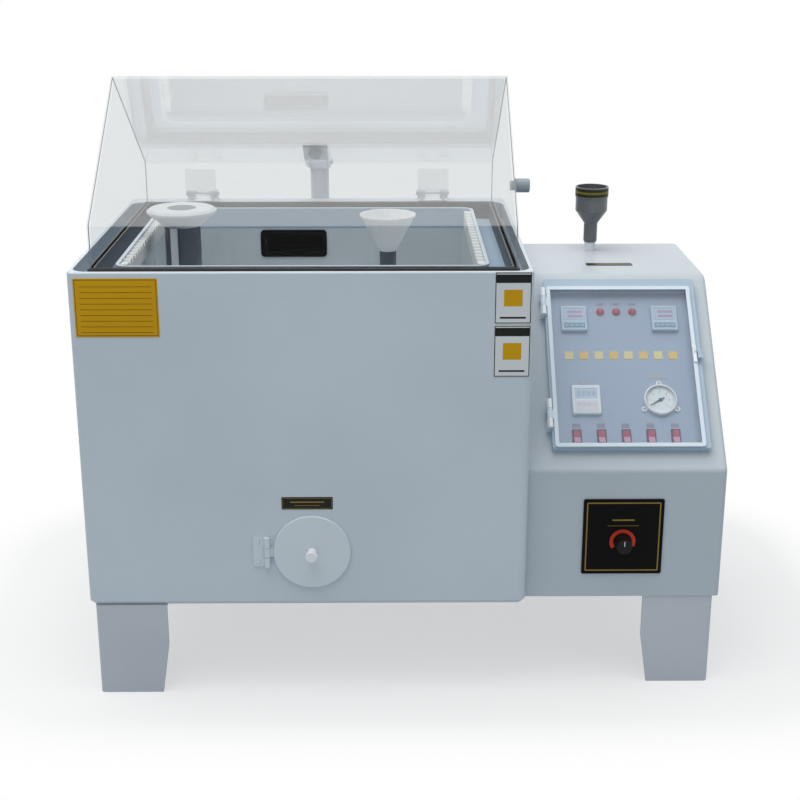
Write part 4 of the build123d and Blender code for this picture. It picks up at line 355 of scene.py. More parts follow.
@shared_group("Rubbed Edges", {"Radius": 0.0009, "Place": None}, ("Normal", "Mask"))
def edge_group(tree, given):
    """Normal with soft edges, and a mask of the edges that hands and tools rub."""
    soft = put(tree, "ShaderNodeBevel", given["Radius"], samples=3).outputs[0]
    plain = put(tree, "ShaderNodeNewGeometry").outputs["Normal"]
    along = vector_calc(tree, "DOT_PRODUCT", soft, plain)
    bent = ramp(tree, calc(tree, "SUBTRACT", 1.0, along), 0.02, 0.3)
    patchy = ramp(tree, noise(tree, given["Place"], 60.0, 4.0), 0.35, 0.65)
    return soft, times(tree, bent, patchy)


@shared_group("Settled Dust", {"Place": None, "Amount": 0.1}, ("Mask",))
def dust_group(tree, given):
    """Mask of the thin dust and salt bloom that settles on upward faces."""
    upward = ramp(tree, facing_up(tree), 0.35, 1.0)
    patches = ramp(tree, noise(tree, given["Place"], 14.0, 5.0, 0.6), 0.35, 0.75)
    specks = ramp(tree, noise(tree, given["Place"], 420.0, 1.0), 0.62, 0.72)
    amount = calc(tree, "ADD", times(tree, patches, 0.7), times(tree, specks, 0.3))
    return [times(tree, times(tree, amount, upward), given["Amount"])]


@shared_group("Wiped Gloss", {"Place": None, "Amount": 0.08}, ("Shift",))
def smudge_group(tree, given):
    """Small changes of gloss from wiping and handling."""
    stretched = vector_calc(tree, "MULTIPLY", given["Place"], (1.0, 1.0, 0.35))
    streaks = noise(tree, stretched, 26.0, 5.0, 0.65)
    return [times(tree, calc(tree, "SUBTRACT", streaks, 0.5), given["Amount"])]


@shared_group("Inside Box", {"Place": None, "Middle": None, "Half": None}, ("Mask",))
def box_group(tree, given):
    """Mask of what lies inside a box in object coordinates."""
    offset = vector_calc(tree, "SUBTRACT", given["Place"], given["Middle"])
    outside = vector_calc(tree, "SUBTRACT", vector_calc(tree, "ABSOLUTE", offset), given["Half"])
    x, y, z = put(tree, "ShaderNodeSeparateXYZ", outside).outputs
    furthest = calc(tree, "MAXIMUM", calc(tree, "MAXIMUM", x, y), z)
    return [calc(tree, "LESS_THAN", furthest, 0.0)]


def place_group(tree, group, **values):
    """Puts a shared node group into a tree and feeds it."""
    return fill(tree, put(tree, "ShaderNodeGroup", node_tree=group()), **values)


def blank_material(name):
    """A new material with its tree, its Principled shader and object coordinates."""
    material = bpy.data.materials.new(name)
    material.use_nodes = True
    tree = material.node_tree
    return material, tree, tree.nodes["Principled BSDF"], put(tree, "ShaderNodeTexCoord").outputs["Object"]


def adjust(material, **values):
    """Sets inputs of a finish's shader by name."""
    fill(material.node_tree, material.node_tree.nodes["Principled BSDF"], **values)
    return material


def recolour(material, mark, colour, mask):
    """Mixes a colour into a finish, once, where mask of its tree and object coordinates is 1."""
    tree = material.node_tree
    if mark in tree.nodes:
        return
    base = tree.nodes["Principled BSDF"].inputs["Base Color"].links[0].from_socket
    place = next(n for n in tree.nodes if n.type == "TEX_COORD").outputs["Object"]
    mixed = mix_colours(tree, mask(tree, place), base, colour)
    mixed.node.name = mark
    adjust(material, Base_Color=mixed)


def rougher(tree, roughness, wiped, dust):
    """Roughness with wiped gloss and dust added."""
    return calc(tree, "ADD", calc(tree, "ADD", roughness, wiped), dust, clamp=True)


def relief(tree, height, strength, millimetres, **normal):
    """Normal of a fine relief, on a given normal or on the plain one."""
    node = put(tree, "ShaderNodeBump")
    fill(tree, node, Strength=strength, Distance=millimetres * MM, Height=height, **normal)
    return node.outputs["Normal"]


def finish(
    name, colour, roughness, grains=900.0, bump=0.01, tone=0.02, smudge=0.10, wear=0.3,
    wear_colour=None, dust=0.02, metallic=0.0, coat=0.0, specular=0.5, stretch=None, soft=1.0,
):
    """An opaque finish with grain, tone, rubbed edges, wiped gloss and settled dust.

    A bump is in millimetres, and soft is a share of the add-on's edge softness.
    """
    if name in bpy.data.materials:
        return bpy.data.materials[name]
    material, tree, shader, place = blank_material(name)
    grain_place = vector_calc(tree, "MULTIPLY", place, stretch) if stretch else place
    grain = place_group(tree, grain_group, Place=grain_place, Grains_per_metre=grains)
    radius = soft * bpy.context.scene.chamber_sizes.edge
    edges = place_group(tree, edge_group, Radius=radius, Place=place)
    settled = place_group(tree, dust_group, Place=place, Amount=dust)["Mask"]
    wiped = place_group(tree, smudge_group, Place=place, Amount=smudge)["Shift"]
    base = mix_colours(tree, grain["Tone"], scaled(colour, 1 - tone), scaled(colour, 1 + tone))
    if stretch:
        lines = ramp(tree, grain["Height"], 0.3, 0.7)
        base = mix_colours(tree, times(tree, lines, 0.35), base, scaled(colour, 0.78))
    rubbed = times(tree, edges["Mask"], wear)
    base = mix_colours(tree, rubbed, base, wear_colour or scaled(colour, 1.22))
    fill(
        tree, shader, Base_Color=mix_colours(tree, settled, base, shade(226, 226, 222)),
        Roughness=rougher(tree, roughness, wiped, times(tree, settled, 0.4)),
        Metallic=metallic, Specular_IOR_Level=specular, Coat_Weight=coat, Coat_Roughness=0.08,
        Normal=relief(tree, grain["Height"], 0.6, bump, Normal=edges["Normal"]),
    )
    return material


def clear_finish(name, tint, roughness, ripple=0.01, scuffs=0.05, gloss=0.3, slope_gloss=None):
    """Clear cast plastic or glass with faint ripples and wiped scuffs."""
    if name in bpy.data.materials:
        return bpy.data.materials[name]
    material, tree, shader, place = blank_material(name)
    grain = place_group(tree, grain_group, Place=place, Grains_per_metre=22.0)
    wiped = place_group(tree, smudge_group, Place=place, Amount=scuffs)["Shift"]
    settled = place_group(tree, dust_group, Place=place, Amount=0.03)["Mask"]
    fill(
        tree, shader, Base_Color=mix_colours(tree, grain["Tone"], scaled(tint, 0.985), tint),
        Roughness=rougher(tree, roughness, wiped, times(tree, settled, 0.5)),
        Transmission_Weight=1.0, Coat_Weight=gloss, Coat_Roughness=0.02, IOR=THIN_SHEET,
        Normal=relief(tree, grain["Height"], 0.4, ripple),
    )
    if slope_gloss is not None:
        sloped = ramp(tree, calc(tree, "ABSOLUTE", facing_up(tree)), 0.2, 0.4)
        more = times(tree, sloped, slope_gloss - gloss)
        fill(tree, shader, Coat_Weight=calc(tree, "ADD", more, gloss))
    return material


def dress(material, *names):
    """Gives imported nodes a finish."""
    for name in names:
        piece = NODES[name]
        if not piece.material_slots:
            piece.data.materials.append(material)
        for slot in piece.material_slots:
            slot.material = material


def coat(nodes, *looks, **settings):
    """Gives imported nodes, named in one string, a finish."""
    material = finish(*looks, **settings)
    dress(material, *nodes.split())
    return material


# Places


def placed(origin, right, up, out):
    """A matrix whose X, Y and Z point right, up and out of a face at origin."""
    matrix = Matrix.Identity(4)
    for column, axis in enumerate((right, up, out)):
        for row in range(3):
            matrix[row][column] = axis[row]
    return Matrix.Translation(origin) @ matrix


def shifted(place, up, out=0.0):
    """The same place moved up and out of its face, in millimetres."""
    return place @ Matrix.Translation((0.0, up * MM, out * MM))


def on_console(across, up, out=0.0):
    """A place on the console, given in millimetres across, up the slope and out of its face."""
    origin = CONSOLE_FOLD + Vector((across, (up - out) * SLOPE, (up + out) * SLOPE)) * MM
    return placed(origin, (1, 0, 0), (0, SLOPE, SLOPE), (0, -SLOPE, SLOPE))


def on_front(x, z, y):
    """A place on a face that looks to the front."""
    return placed(Vector((x, y, z)), (1, 0, 0), (0, 0, 1), (0, -1, 0))


def on_tank(across, up):
    """A place on the tank's front, in millimetres from its left side and from the floor."""
    return on_front(TANK_LOW.x + across * MM, up * MM, TANK_LOW.y)


def on_back(x, z, y):
    """A place on a face that looks to the back."""
    return placed(Vector((x, y, z)), (-1, 0, 0), (0, 0, 1), (0, 1, 0))


def on_top(x, y, z):
    """A place on a face that looks up."""
    return placed(Vector((x, y, z)), (1, 0, 0), (0, 1, 0), (0, 0, 1))


# Mesh building in millimetres


def ring(mesh, points, height, place):
    return [mesh.verts.new(place @ (Vector((x, y, height)) * MM)) for x, y in points]


def band(mesh, low, high):
    count = len(low)
    for i in range(count):
        mesh.faces.new((low[i], low[(i + 1) % count], high[(i + 1) % count], high[i]))


def loft(mesh, rings, closed=True):
    """Bands between rings that follow one another, with a face at either end."""
    for low, high in zip(rings, rings[1:]):
        band(mesh, low, high)
    mesh.faces.new(rings[-1])
    if closed:
        mesh.faces.new(rings[0][::-1])


def rounded_outline(width, height, radius, steps=5):
    """Points round a rectangle with rounded corners."""
    radius = min(radius, width / 2, height / 2)
    points = []
    for turn, (sx, sy) in enumerate(((1, 1), (-1, 1), (-1, -1), (1, -1))):
        for step in range(steps + 1):
            angle = pi / 2 * (turn + step / steps)
            points.append((
                sx * (width / 2 - radius) + radius * cos(angle),
                sy * (height / 2 - radius) + radius * sin(angle),
            ))
    return points


def slab(mesh, width, height, thickness, radius, place, edge=0.2, start=0.0):
    """A rounded plate that stands on its place, with a softened upper edge."""
    outer = rounded_outline(width, height, radius)
    upper = rounded_outline(width - 2 * edge, height - 2 * edge, max(radius - edge, 0.05))
    high = start + thickness
    loft(mesh, [ring(mesh, *each, place) for each in ((outer, start), (outer, high - edge), (upper, high))])


def hollow_frame(mesh, width, height, border, thickness, radius, place):
    """A flat rounded frame of one border width."""
    outer = rounded_outline(width, height, radius)
    inner = rounded_outline(width - 2 * border, height - 2 * border, max(radius - border, 0.1))
    sides = ((outer, 0), (outer, thickness), (inner, thickness), (inner, 0))
    rings = [ring(mesh, *each, place) for each in sides]
    for low, high in zip(rings, rings[1:] + rings[:1]):
        band(mesh, low, high)


def lathe(mesh, profile, place, steps=28):
    """A turned piece from (radius, height) points, closed where the radius is nothing."""
    turned = []
    for radius, height in profile:
        turns = [2 * pi * i / steps for i in range(steps if radius else 1)]
        turned.append(ring(mesh, [(radius * cos(a), radius * sin(a)) for a in turns], height, place))
    for low, high in zip(turned, turned[1:]):
        for i in range(steps):
            j = (i + 1) % steps
            corners = [low[i % len(low)], low[j % len(low)], high[j % len(high)], high[i % len(high)]]
            mesh.faces.new(list(dict.fromkeys(corners)))


def arc_strip(mesh, inner, outer, start, end, thickness, place, steps=60):
    """A thin curved strip between two angles, in radians."""
    sections = []
    for i in range(steps + 1):
        angle = start + (end - start) * i / steps
        across = [(radius * cos(angle), radius * sin(angle)) for radius in (inner, outer)]
        sections.append(ring(mesh, across, 0, place) + ring(mesh, across, thickness, place)[::-1])
    loft(mesh, sections)


def cross_recess(radius):
    """Points round a cross-shaped recess, with the angles at which a head's rings are made."""
    arm, half = 0.55 * radius, 0.13 * radius
    corner = atan2(half, arm)
    between = (corner + pi / 4) / 2
    points, angles = [], []
    for quarter in range(4):
        for angle in (0, corner, between, pi / 4, pi / 2 - between, pi / 2 - corner):
            near = angle if angle <= pi / 4 else pi / 2 - angle
            reach = arm / cos(near) if near <= corner + 1e-9 else half / sin(near)
            turn = angle + quarter * pi / 2
            points.append((reach * cos(turn), reach * sin(turn)))
            angles.append(turn)
    return points, angles


def screw_head(mesh, radius, place, turn):
    """A pan head with a cross recess."""
    place = place @ Matrix.Rotation(turn, 4, "Z")
    recess, angles = cross_recess(radius)
    rings = []
    for share, height in ((1.0, 0.0), (1.0, 0.25), (0.93, 0.42), (0.78, 0.55), (0.62, 0.62)):
        points = [(radius * share * cos(a), radius * share * sin(a)) for a in angles]
        rings.append(ring(mesh, points, radius * height, place))
    rings.append(ring(mesh, recess, radius * 0.62, place))
    rings.append(ring(mesh, [(x * 0.8, y * 0.8) for x, y in recess], radius * 0.2, place))
    loft(mesh, rings, closed=False)


def numeral(mesh, words, height, place):
    """A plain numeral as a thin mesh, centred on its place."""
    curve = bpy.data.curves.new("numeral", "FONT")
    curve.body = words
    curve.size = height * MM
    curve.align_x = "CENTER"
    curve.align_y = "CENTER"
    curve.resolution_u = 3
    curve.extrude = 0.04 * MM
    carrier = bpy.data.objects.new("numeral", curve)
    shape = bpy.data.meshes.new_from_object(carrier)
    shape.transform(place)
    mesh.from_mesh(shape)
    bpy.data.objects.remove(carrier)
    bpy.data.curves.remove(curve)
    bpy.data.meshes.remove(shape)


def add_object(name, data):
    """Links a new object to the scene."""
    piece = bpy.data.objects.new(name, data)
    bpy.context.scene.collection.objects.link(piece)
    return piece


def make_piece(name, mesh, material, body="base", smooth=False):
    """Turns a bmesh into a piece that rides on a body."""
    bmesh.ops.recalc_face_normals(mesh, faces=mesh.faces)
    data = bpy.data.meshes.new(name)
    mesh.to_mesh(data)
    mesh.free()
    if smooth:
        data.shade_smooth()
        data.set_sharp_from_angle(angle=radians(32))
    data.materials.append(material)
    piece = add_object(name, data)
    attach(piece, body)


def plates(name, material, rows, edge=0.2, body="base", frame=None):
    """One piece of plates, each of width, height, thickness, corner and place, with a frame or none."""
    mesh = bmesh.new()
    if frame:
        hollow_frame(mesh, *frame)
    for row in rows:
        slab(mesh, *row, edge)
    make_piece(name, mesh, material, body)


def turned_piece(name, profile, place, steps, material, body="base"):
    """One piece turned on a lathe."""
    mesh = bmesh.new()
    lathe(mesh, profile, place, steps)
    make_piece(name, mesh, material, body, smooth=True)


def finish_of(node):
    """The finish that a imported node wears."""
    return NODES[node].material_slots[0].material


# Printed finishes


def printed(name, colour, roughness=0.42):
    """Ink or film on a small plate."""
    return finish(name, colour, roughness, grains=2400.0, bump=0.006, tone=0.05, smudge=0.14, wear=0.1,
                  specular=0.2, soft=2 / 9)


def screen_glass(name, colour):
    """Dark or pale instrument window with a glossy film."""
    return finish(name, colour, 0.2, grains=1600.0, bump=0.003, tone=0.10, smudge=0.12, wear=0.0,
                  dust=0.01, coat=0.2, specular=0.2, soft=2 / 9)


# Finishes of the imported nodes


def given(context):
    """Colours and sizes of the add-on."""
    return context.scene.chamber_colours, context.scene.chamber_sizes


class TESTCHAMBER_OT_housing(bpy.types.Operator):
    """Moulded grey finish of the tank, the cabinet, their covers and the feet"""

    bl_idname = "testchamber.housing"
    bl_label = "Housing Finish"

    def execute(self, context):
        colours = context.scene.chamber_colours
        # The cabinet's gelcoat is a shaded copy of the tank's, and its darker colour is painted shade.
        body, cabinet = (
            finish(name, colour, 0.38, grains=700.0, bump=0.012, tone=0.03, smudge=0.12, wear=0.15,
                   dust=0.10, specular=0.12)
            for name, colour in (("housing_gelcoat", colours.housing), ("cabinet_gelcoat", colours.cabinet))
        )
        # Painted shade: the trough inside the outer lip gets the darker trough colour.
        recolour(body, "trough_colour", colours.trough, self.trough)
        dress(body, "tank_shell")
        dress(cabinet, "cabinet_shell", "cabinet_back")
        coat("feet lift_clamp", "foot_powder_coat", colours.feet, 0.46, grains=1500.0, bump=0.05,
             tone=0.05, wear=0.7, wear_colour=scaled(colours.feet, 1.12), dust=0.2)
        coat("front_cover cover_hinge", "cover_polymer", colours.cover, 0.30, smudge=0.15, wear=0.5,
             dust=0.08, coat=0.2, soft=1.4)
        # Painted highlight: the knob's colour is made lighter for the highlight on its centre.
        coat("cover_knob", "knob_polymer", colours.knob, 0.26, smudge=0.15, dust=0.05, coat=0.3)
        coat("panel_frame", "frame_plastic", colours.frame, 0.33, grains=1100.0, bump=0.015, tone=0.035,
             wear=0.55, dust=0.08, coat=0.15)
        coat("regulator_knob rear_fittings", "black_moulding", scaled(colours.black, 0.8), 0.55,
             grains=1300.0, bump=0.02, tone=0.2, wear_colour=shade(58, 58, 60), dust=0.01, specular=0.2,
             soft=0.6)
        coat("regulator_plate", "black_plate", colours.black, 0.5, grains=2200.0, tone=0.2, wear=0.15,
             wear_colour=shade(60, 60, 62), dust=0.005, specular=0.06, soft=0.5)
        coat("rocker_frames", "switch_bezel", shade(78, 84, 106), 0.4, grains=1400.0, tone=0.08,
             specular=0.3, soft=0.5)
        return {"FINISHED"}

    @staticmethod
    def trough(tree, place):
        """Mask of the trough inside the outer lip, where a darker colour paints the shade that lies in the
        recessed groove.
        """
        lip, rear = 7.5 * MM, 44 * MM
        low = Vector((TANK_LOW.x + lip, TANK_LOW.y + lip, TANK_HIGH.z - 60 * MM))
        high = Vector((TANK_HIGH.x - lip, TANK_HIGH.y - rear, TANK_HIGH.z - 1.5 * MM))
        middle, half = (low + high) / 2, (high - low) / 2
        return place_group(tree, box_group, Place=place, Middle=middle, Half=half)["Mask"]


class TESTCHAMBER_OT_chamber(bpy.types.Operator):
    """Finishes inside the chamber: lining, rails, floor, tower, collector and pipes"""

    bl_idname = "testchamber.chamber"
    bl_label = "Chamber Finish"

    def execute(self, context):
        colours = context.scene.chamber_colours
        coat("tank_liner false_floor drain_pipe feed_pipes tower_foot", "chamber_lining", colours.lining,
             0.30, grains=500.0, bump=0.02, tone=0.06, smudge=0.22, dust=0.22, coat=0.25)
        # Painted shade: the vent is near black for the shade deep in its duct.
        coat("vent_duct", "vent_moulding", shade(9, 11, 12), 0.6, bump=0.02, tone=0.15, wear=0.1,
             dust=0.01, specular=0.1)
        coat("notched_rails", "rail_plastic", colours.rail, 0.5, grains=1800.0, bump=0.05, tone=0.06,
             smudge=0.12, dust=0.12, soft=0.6)
        coat("insulation", "insulation_foam", shade(236, 224, 178), 0.9, grains=420.0, bump=0.5,
             tone=0.10, smudge=0.05, wear=0.1, dust=0.2)
        coat("tower_tube collector_stem", "tower_tube", colours.tower, 0.26, grains=700.0, tone=0.07,
             smudge=0.2, wear=0.2, dust=0.05, coat=0.3)
        coat("tower_cap spray_nozzle fill_fitting", "white_polymer", colours.white, 0.30, grains=1100.0,
             smudge=0.12, wear=0.2, dust=0.06, coat=0.1)
        funnel = coat("collector_funnel", "funnel_white", shade(246, 249, 251), 0.32, grains=1100.0,
                      smudge=0.12, wear=0.1, coat=0.1)
        adjust(funnel, Subsurface_Weight=0.7, Subsurface_Radius=(1.0, 1.0, 1.0), Subsurface_Scale=12 * MM)
        coat("brine_tank", "brine_tank_polymer", scaled(colours.white, 0.86), 0.42, grains=600.0,
             bump=0.03, tone=0.05, smudge=0.15, wear=0.35, dust=0.15)
        coat("fill_funnel", "funnel_grey", colours.funnel, 0.34, grains=1000.0, bump=0.012, tone=0.06,
             smudge=0.15, wear=0.35, dust=0.10, coat=0.1)
        return {"FINISHED"}


class TESTCHAMBER_OT_clear_parts(bpy.types.Operator):
    """Clear acrylic lid, door window and gauge lens, with the seal and the lid's small parts"""

    bl_idname = "testchamber.clear_parts"
    bl_label = "Clear Parts"

    def execute(self, context):
        colours = context.scene.chamber_colours
        acrylic = clear_finish("lid_acrylic", colours.lid, 0.02, scuffs=0.04, gloss=0.03, slope_gloss=1.0)
        dress(adjust(acrylic, Coat_IOR=LID_COAT), "lid_shell")
        self.frosted_leaves()
        window = clear_finish("window_acrylic", colours.window, 0.02, gloss=1.0)
        dress(adjust(window, Coat_IOR=WINDOW_COAT), "door_window")
        dress(clear_finish("lens_glass", shade(248, 250, 251), 0.01, ripple=0.005, gloss=0.4), "gauge_lens")
        for name in ("lid_shell", "lid_hinge_leaves", "door_window", "gauge_lens"):
            NODES[name].visible_shadow = False
        coat("lid_seal", "seal_rubber", colours.seal, 0.55, bump=0.04, tone=0.2, wear=0.2,
             wear_colour=shade(76, 78, 80), dust=0.10)
        coat("panel_door", "door_polymer", colours.door, 0.22, bump=0.008, tone=0.03, wear=0.5,
             wear_colour=shade(240, 246, 250), dust=0.05, coat=0.3)
        coat("lid_plug lid_fixing regulator_body", "grey_fitting", shade(146, 158, 168), 0.32,
             grains=1100.0, bump=0.02, tone=0.06, dust=0.06, coat=0.2)
        return {"FINISHED"}

    @staticmethod
    def frosted_leaves():
        """Clear hinge leaves, drawn a hair smaller so that light reaches their bonded side."""
        frosted = finish("frosted_acrylic", shade(250, 251, 252), 0.5, bump=0.02, tone=0.01, wear=0.0,
                         soft=0.5)
        dress(adjust(frosted, Alpha=0.15), "lid_hinge_leaves")
        bond = NODES["lid_hinge_leaves"].modifiers.new("bond_gap", "DISPLACE")
        bond.mid_level = 0.0
        bond.strength = -0.2 * MM


class TESTCHAMBER_OT_metal_parts(bpy.types.Operator):
    """Brushed and bright metal of hinges, lift, heater, vessel, latch and gauge case"""

    bl_idname = "testchamber.metal_parts"
    bl_label = "Metal Parts"

    def execute(self, context):
        colours = context.scene.chamber_colours
        coat("heater air_saturator", "brushed_steel", colours.steel, 0.30, bump=0.02, tone=0.06,
             smudge=0.15, wear=0.5, wear_colour=shade(226, 227, 228), dust=0.05, metallic=1.0,
             stretch=(1.0, 1.0, 0.04), soft=0.6)
        coat("lid_hinge_brackets lid_arm lift_barrel lift_sleeve lift_rod", "pale_enamel", colours.lift,
             0.32, grains=1200.0, smudge=0.12, wear=0.35, dust=0.05, coat=0.2, soft=0.8)
        coat("door_hinges door_latch gauge_case", "bright_fitting", shade(240, 245, 250), 0.24,
             grains=1200.0, bump=0.006, tone=0.04, wear=0.4, dust=0.03, metallic=0.2, soft=0.6)
        coat("air_valves", "valve_brass", shade(206, 172, 104), 0.32, grains=1000.0, bump=0.02,
             tone=0.08, wear=0.4, dust=0.06, metallic=1.0)
        return {"FINISHED"}


class TESTCHAMBER_OT_panel(bpy.types.Operator):
    """Paint of the control panel and the finishes of its instruments"""

    bl_idname = "testchamber.panel"
    bl_label = "Panel Finish"

    def execute(self, context):
        colours = context.scene.chamber_colours
        coat("control_panel", "panel_paint", colours.panel, 0.5, grains=1500.0, bump=0.02, tone=0.05,
             smudge=0.12, dust=0.0, specular=0.12)
        coat("controllers", "controller_grey", shade(184, 206, 228), 0.34, grains=1400.0, bump=0.012,
             tone=0.04, dust=0.03, soft=0.6)
        coat("timer", "timer_white", shade(236, 246, 252), 0.34, grains=1400.0, bump=0.012, tone=0.03,
             wear=0.2, dust=0.03, soft=0.6)
        coat("gauge_dial", "dial_white", shade(240, 250, 253), 0.5, grains=2600.0, bump=0.004, wear=0.0,
             dust=0.0)
        coat("gauge_needle", "needle_black", shade(52, 58, 66), 0.4, grains=2600.0, bump=0.003, tone=0.1,
             wear=0.1, dust=0.0)
        coat("lamps", "lamp_lens", colours.red, 0.16, grains=1800.0, bump=0.03, tone=0.25, smudge=0.1,
             wear=0.2, wear_colour=shade(236, 130, 160), coat=0.6)
        rocker = finish("rocker_red", colours.red, 0.22, grains=1500.0, bump=0.008, tone=0.06,
                        smudge=0.12, wear=0.5, wear_colour=shade(236, 150, 176), coat=0.4,
                        soft=0.5)
        # Painted highlight: the rockers' lower halves get a paler colour.
        recolour(rocker, "paler_half", shade(206, 164, 196), self.lower_half)
        dress(rocker, *(f"rocker_{i + 1}" for i in range(len(ROCKERS))))
        return {"FINISHED"}

    @staticmethod
    def lower_half(tree, place):
        """Mask of the rockers' lower halves, which are made paler as a painted highlight."""
        upward = Vector((0.0, SLOPE, SLOPE))
        level = on_console(0, ROCKER_HEIGHT).translation.dot(upward)
        up = vector_calc(tree, "DOT_PRODUCT", place, upward)
        lower = calc(tree, "SUBTRACT", 1.0, ramp(tree, up, level - 0.4 * MM, level + 0.4 * MM))
        return times(tree, lower, 0.75)


# Added pieces


class TESTCHAMBER_OT_front_plates(bpy.types.Operator):
    """Plain plates on the tank's front: yellow, two white cards and a low black plate"""

    bl_idname = "testchamber.front_plates"
    bl_label = "Front Plates"

    def execute(self, context):
        colours, sizes = given(context)
        black = printed("black_ink", colours.black, 0.3)
        yellow = printed("yellow_film", colours.yellow)
        self.yellow_plate(sizes, yellow, on_tank(*YELLOW_PLATE))
        for number, spot in enumerate(WHITE_CARDS):
            height = sizes.card_height / MM + 2 * number
            self.white_card(number + 1, height, sizes, yellow, black, on_tank(*spot))
        gold = printed("gold_line", colours.gold, 0.3)
        across, back = TOP_STRIP
        top = on_top(TANK_LOW.x + across * MM, TANK_LOW.y + back * MM, CABINET_HIGH.z)
        for name, width, height, place in (
            ("low_plate", sizes.name_plate_width, sizes.name_plate_height, on_tank(*LOW_PLATE)),
            ("top_strip", sizes.strip_width, sizes.strip_depth, top),
        ):
            self.lined_plate(name, width / MM, height / MM, sizes.sheet / MM, black, gold, place)
        return {"FINISHED"}

    @staticmethod
    def yellow_plate(sizes, yellow, place):
        """A yellow film with a border and bare rules."""
        width, height, sheet = sizes.plate_width / MM, sizes.plate_height / MM, sizes.sheet / MM
        plates("yellow_plate", yellow, [(width, height, sheet, 1.5, place)])
        rows = 9
        rules = [
            (width * 0.86, 0.8, INK, 0.3, shifted(place, height * (0.36 - 0.78 * row / (rows - 1)), sheet))
            for row in range(rows)
        ]
        plates("yellow_plate_rules", printed("umber_ink", shade(112, 84, 16)), rules, 0.05,
               frame=(width - 4, height - 4, 0.9, INK, 1.2, shifted(place, 0, sheet)))

    @staticmethod
    def white_card(number, height, sizes, yellow, black, place):
        """A white card with a border, a bare header, a foot line and a plain yellow block."""
        width, sheet = sizes.card_width / MM, sizes.sheet / MM
        card = printed("white_card", shade(226, 230, 232))
        plates(f"white_card_{number}", card, [(width, height, sheet, 1.5, place)])
        plates(f"white_card_border_{number}", black, [
            (width - 5, height * 0.16, INK, 0.5, shifted(place, height * 0.37, sheet)),
            (width * 0.7, 3, INK, 0.4, shifted(place, -height * 0.38, sheet)),
        ], 0.05, frame=(width - 2, height - 2, 1.4, INK, 1.2, shifted(place, 0, sheet)))
        plates(f"white_card_block_{number}", yellow,
               [(width * 0.5, height * 0.32, INK, 1, shifted(place, 0, sheet))], 0.05)

    @staticmethod
    def lined_plate(name, width, height, sheet, black, gold, place):
        """A bare black plate with an inset gold line."""
        plates(name, black, [(width, height, sheet, 1.2, place)])
        plates(name + "_line", gold, [
            (width * share, line, FINE_INK, 0.5, shifted(place, height * up, sheet))
            for share, line, up in ((0.66, 2.2, 0.1), (0.5, 1.0, -0.18))
        ], 0.04, frame=(width - 3.4, height - 3.4, 0.7, FINE_INK, 1.0, shifted(place, 0, sheet)))


class TESTCHAMBER_OT_console_labels(bpy.types.Operator):
    """Row of plain tiles and the small bare labels on the control panel"""

    bl_idname = "testchamber.console_labels"
    bl_label = "Console Labels"

    def execute(self, context):
        colours, sizes = given(context)
        label = printed("label_grey", colours.label)
        rose = printed("label_rose", shade(150, 146, 174))
        step = (TILE_LAST - TILE_FIRST) / max(sizes.tile_count - 1, 1)
        for first, (name, ink, colour) in enumerate((
            ("console_tiles_pale", "tile_yellow", shade(226, 216, 160)),
            ("console_tiles_warm", "tile_orange", shade(228, 196, 118)),
        )):
            plates(name, printed(ink, colour), [
                (sizes.tile / MM, sizes.tile / MM, sizes.sheet / MM, 1.0,
                 on_console(TILE_FIRST + step * i, TILE_HEIGHT))
                for i in range(first, sizes.tile_count, 2)
            ])
        plates("instrument_labels", label, [
            *((38, 7, 0.4, 1, on_console(u, w + CONTROLLER_LABEL_UP)) for u, w in CONTROLLERS),
            (20, 7, 0.4, 1, on_console(TIMER[0], TIMER[1] + TIMER_LABEL_UP)),
        ])
        plates("switch_labels", rose, [
            *((13, 5, 0.4, 0.8, on_console(u, LAMP_HEIGHT + LAMP_LABEL_UP)) for u in LAMPS),
            *((14, 8, 0.4, 1, on_console(u, ROCKER_HEIGHT + ROCKER_LABEL_UP)) for u in ROCKERS),
        ])
        self.gauge_label(label)
        return {"FINISHED"}

    @staticmethod
    def gauge_label(material):
        """A small label above the gauge, narrower at its top."""
        mesh = bmesh.new()
        place = on_console(GAUGE[0], GAUGE[1] + GAUGE_LABEL_UP)
        wide, narrow, half = 17, 10, 5.5
        outline = [(-wide, -half), (wide, -half), (narrow, half), (-narrow, half)]
        loft(mesh, [ring(mesh, outline, height, place) for height in (0, 0.4)])
        make_piece("gauge_label", mesh, material)


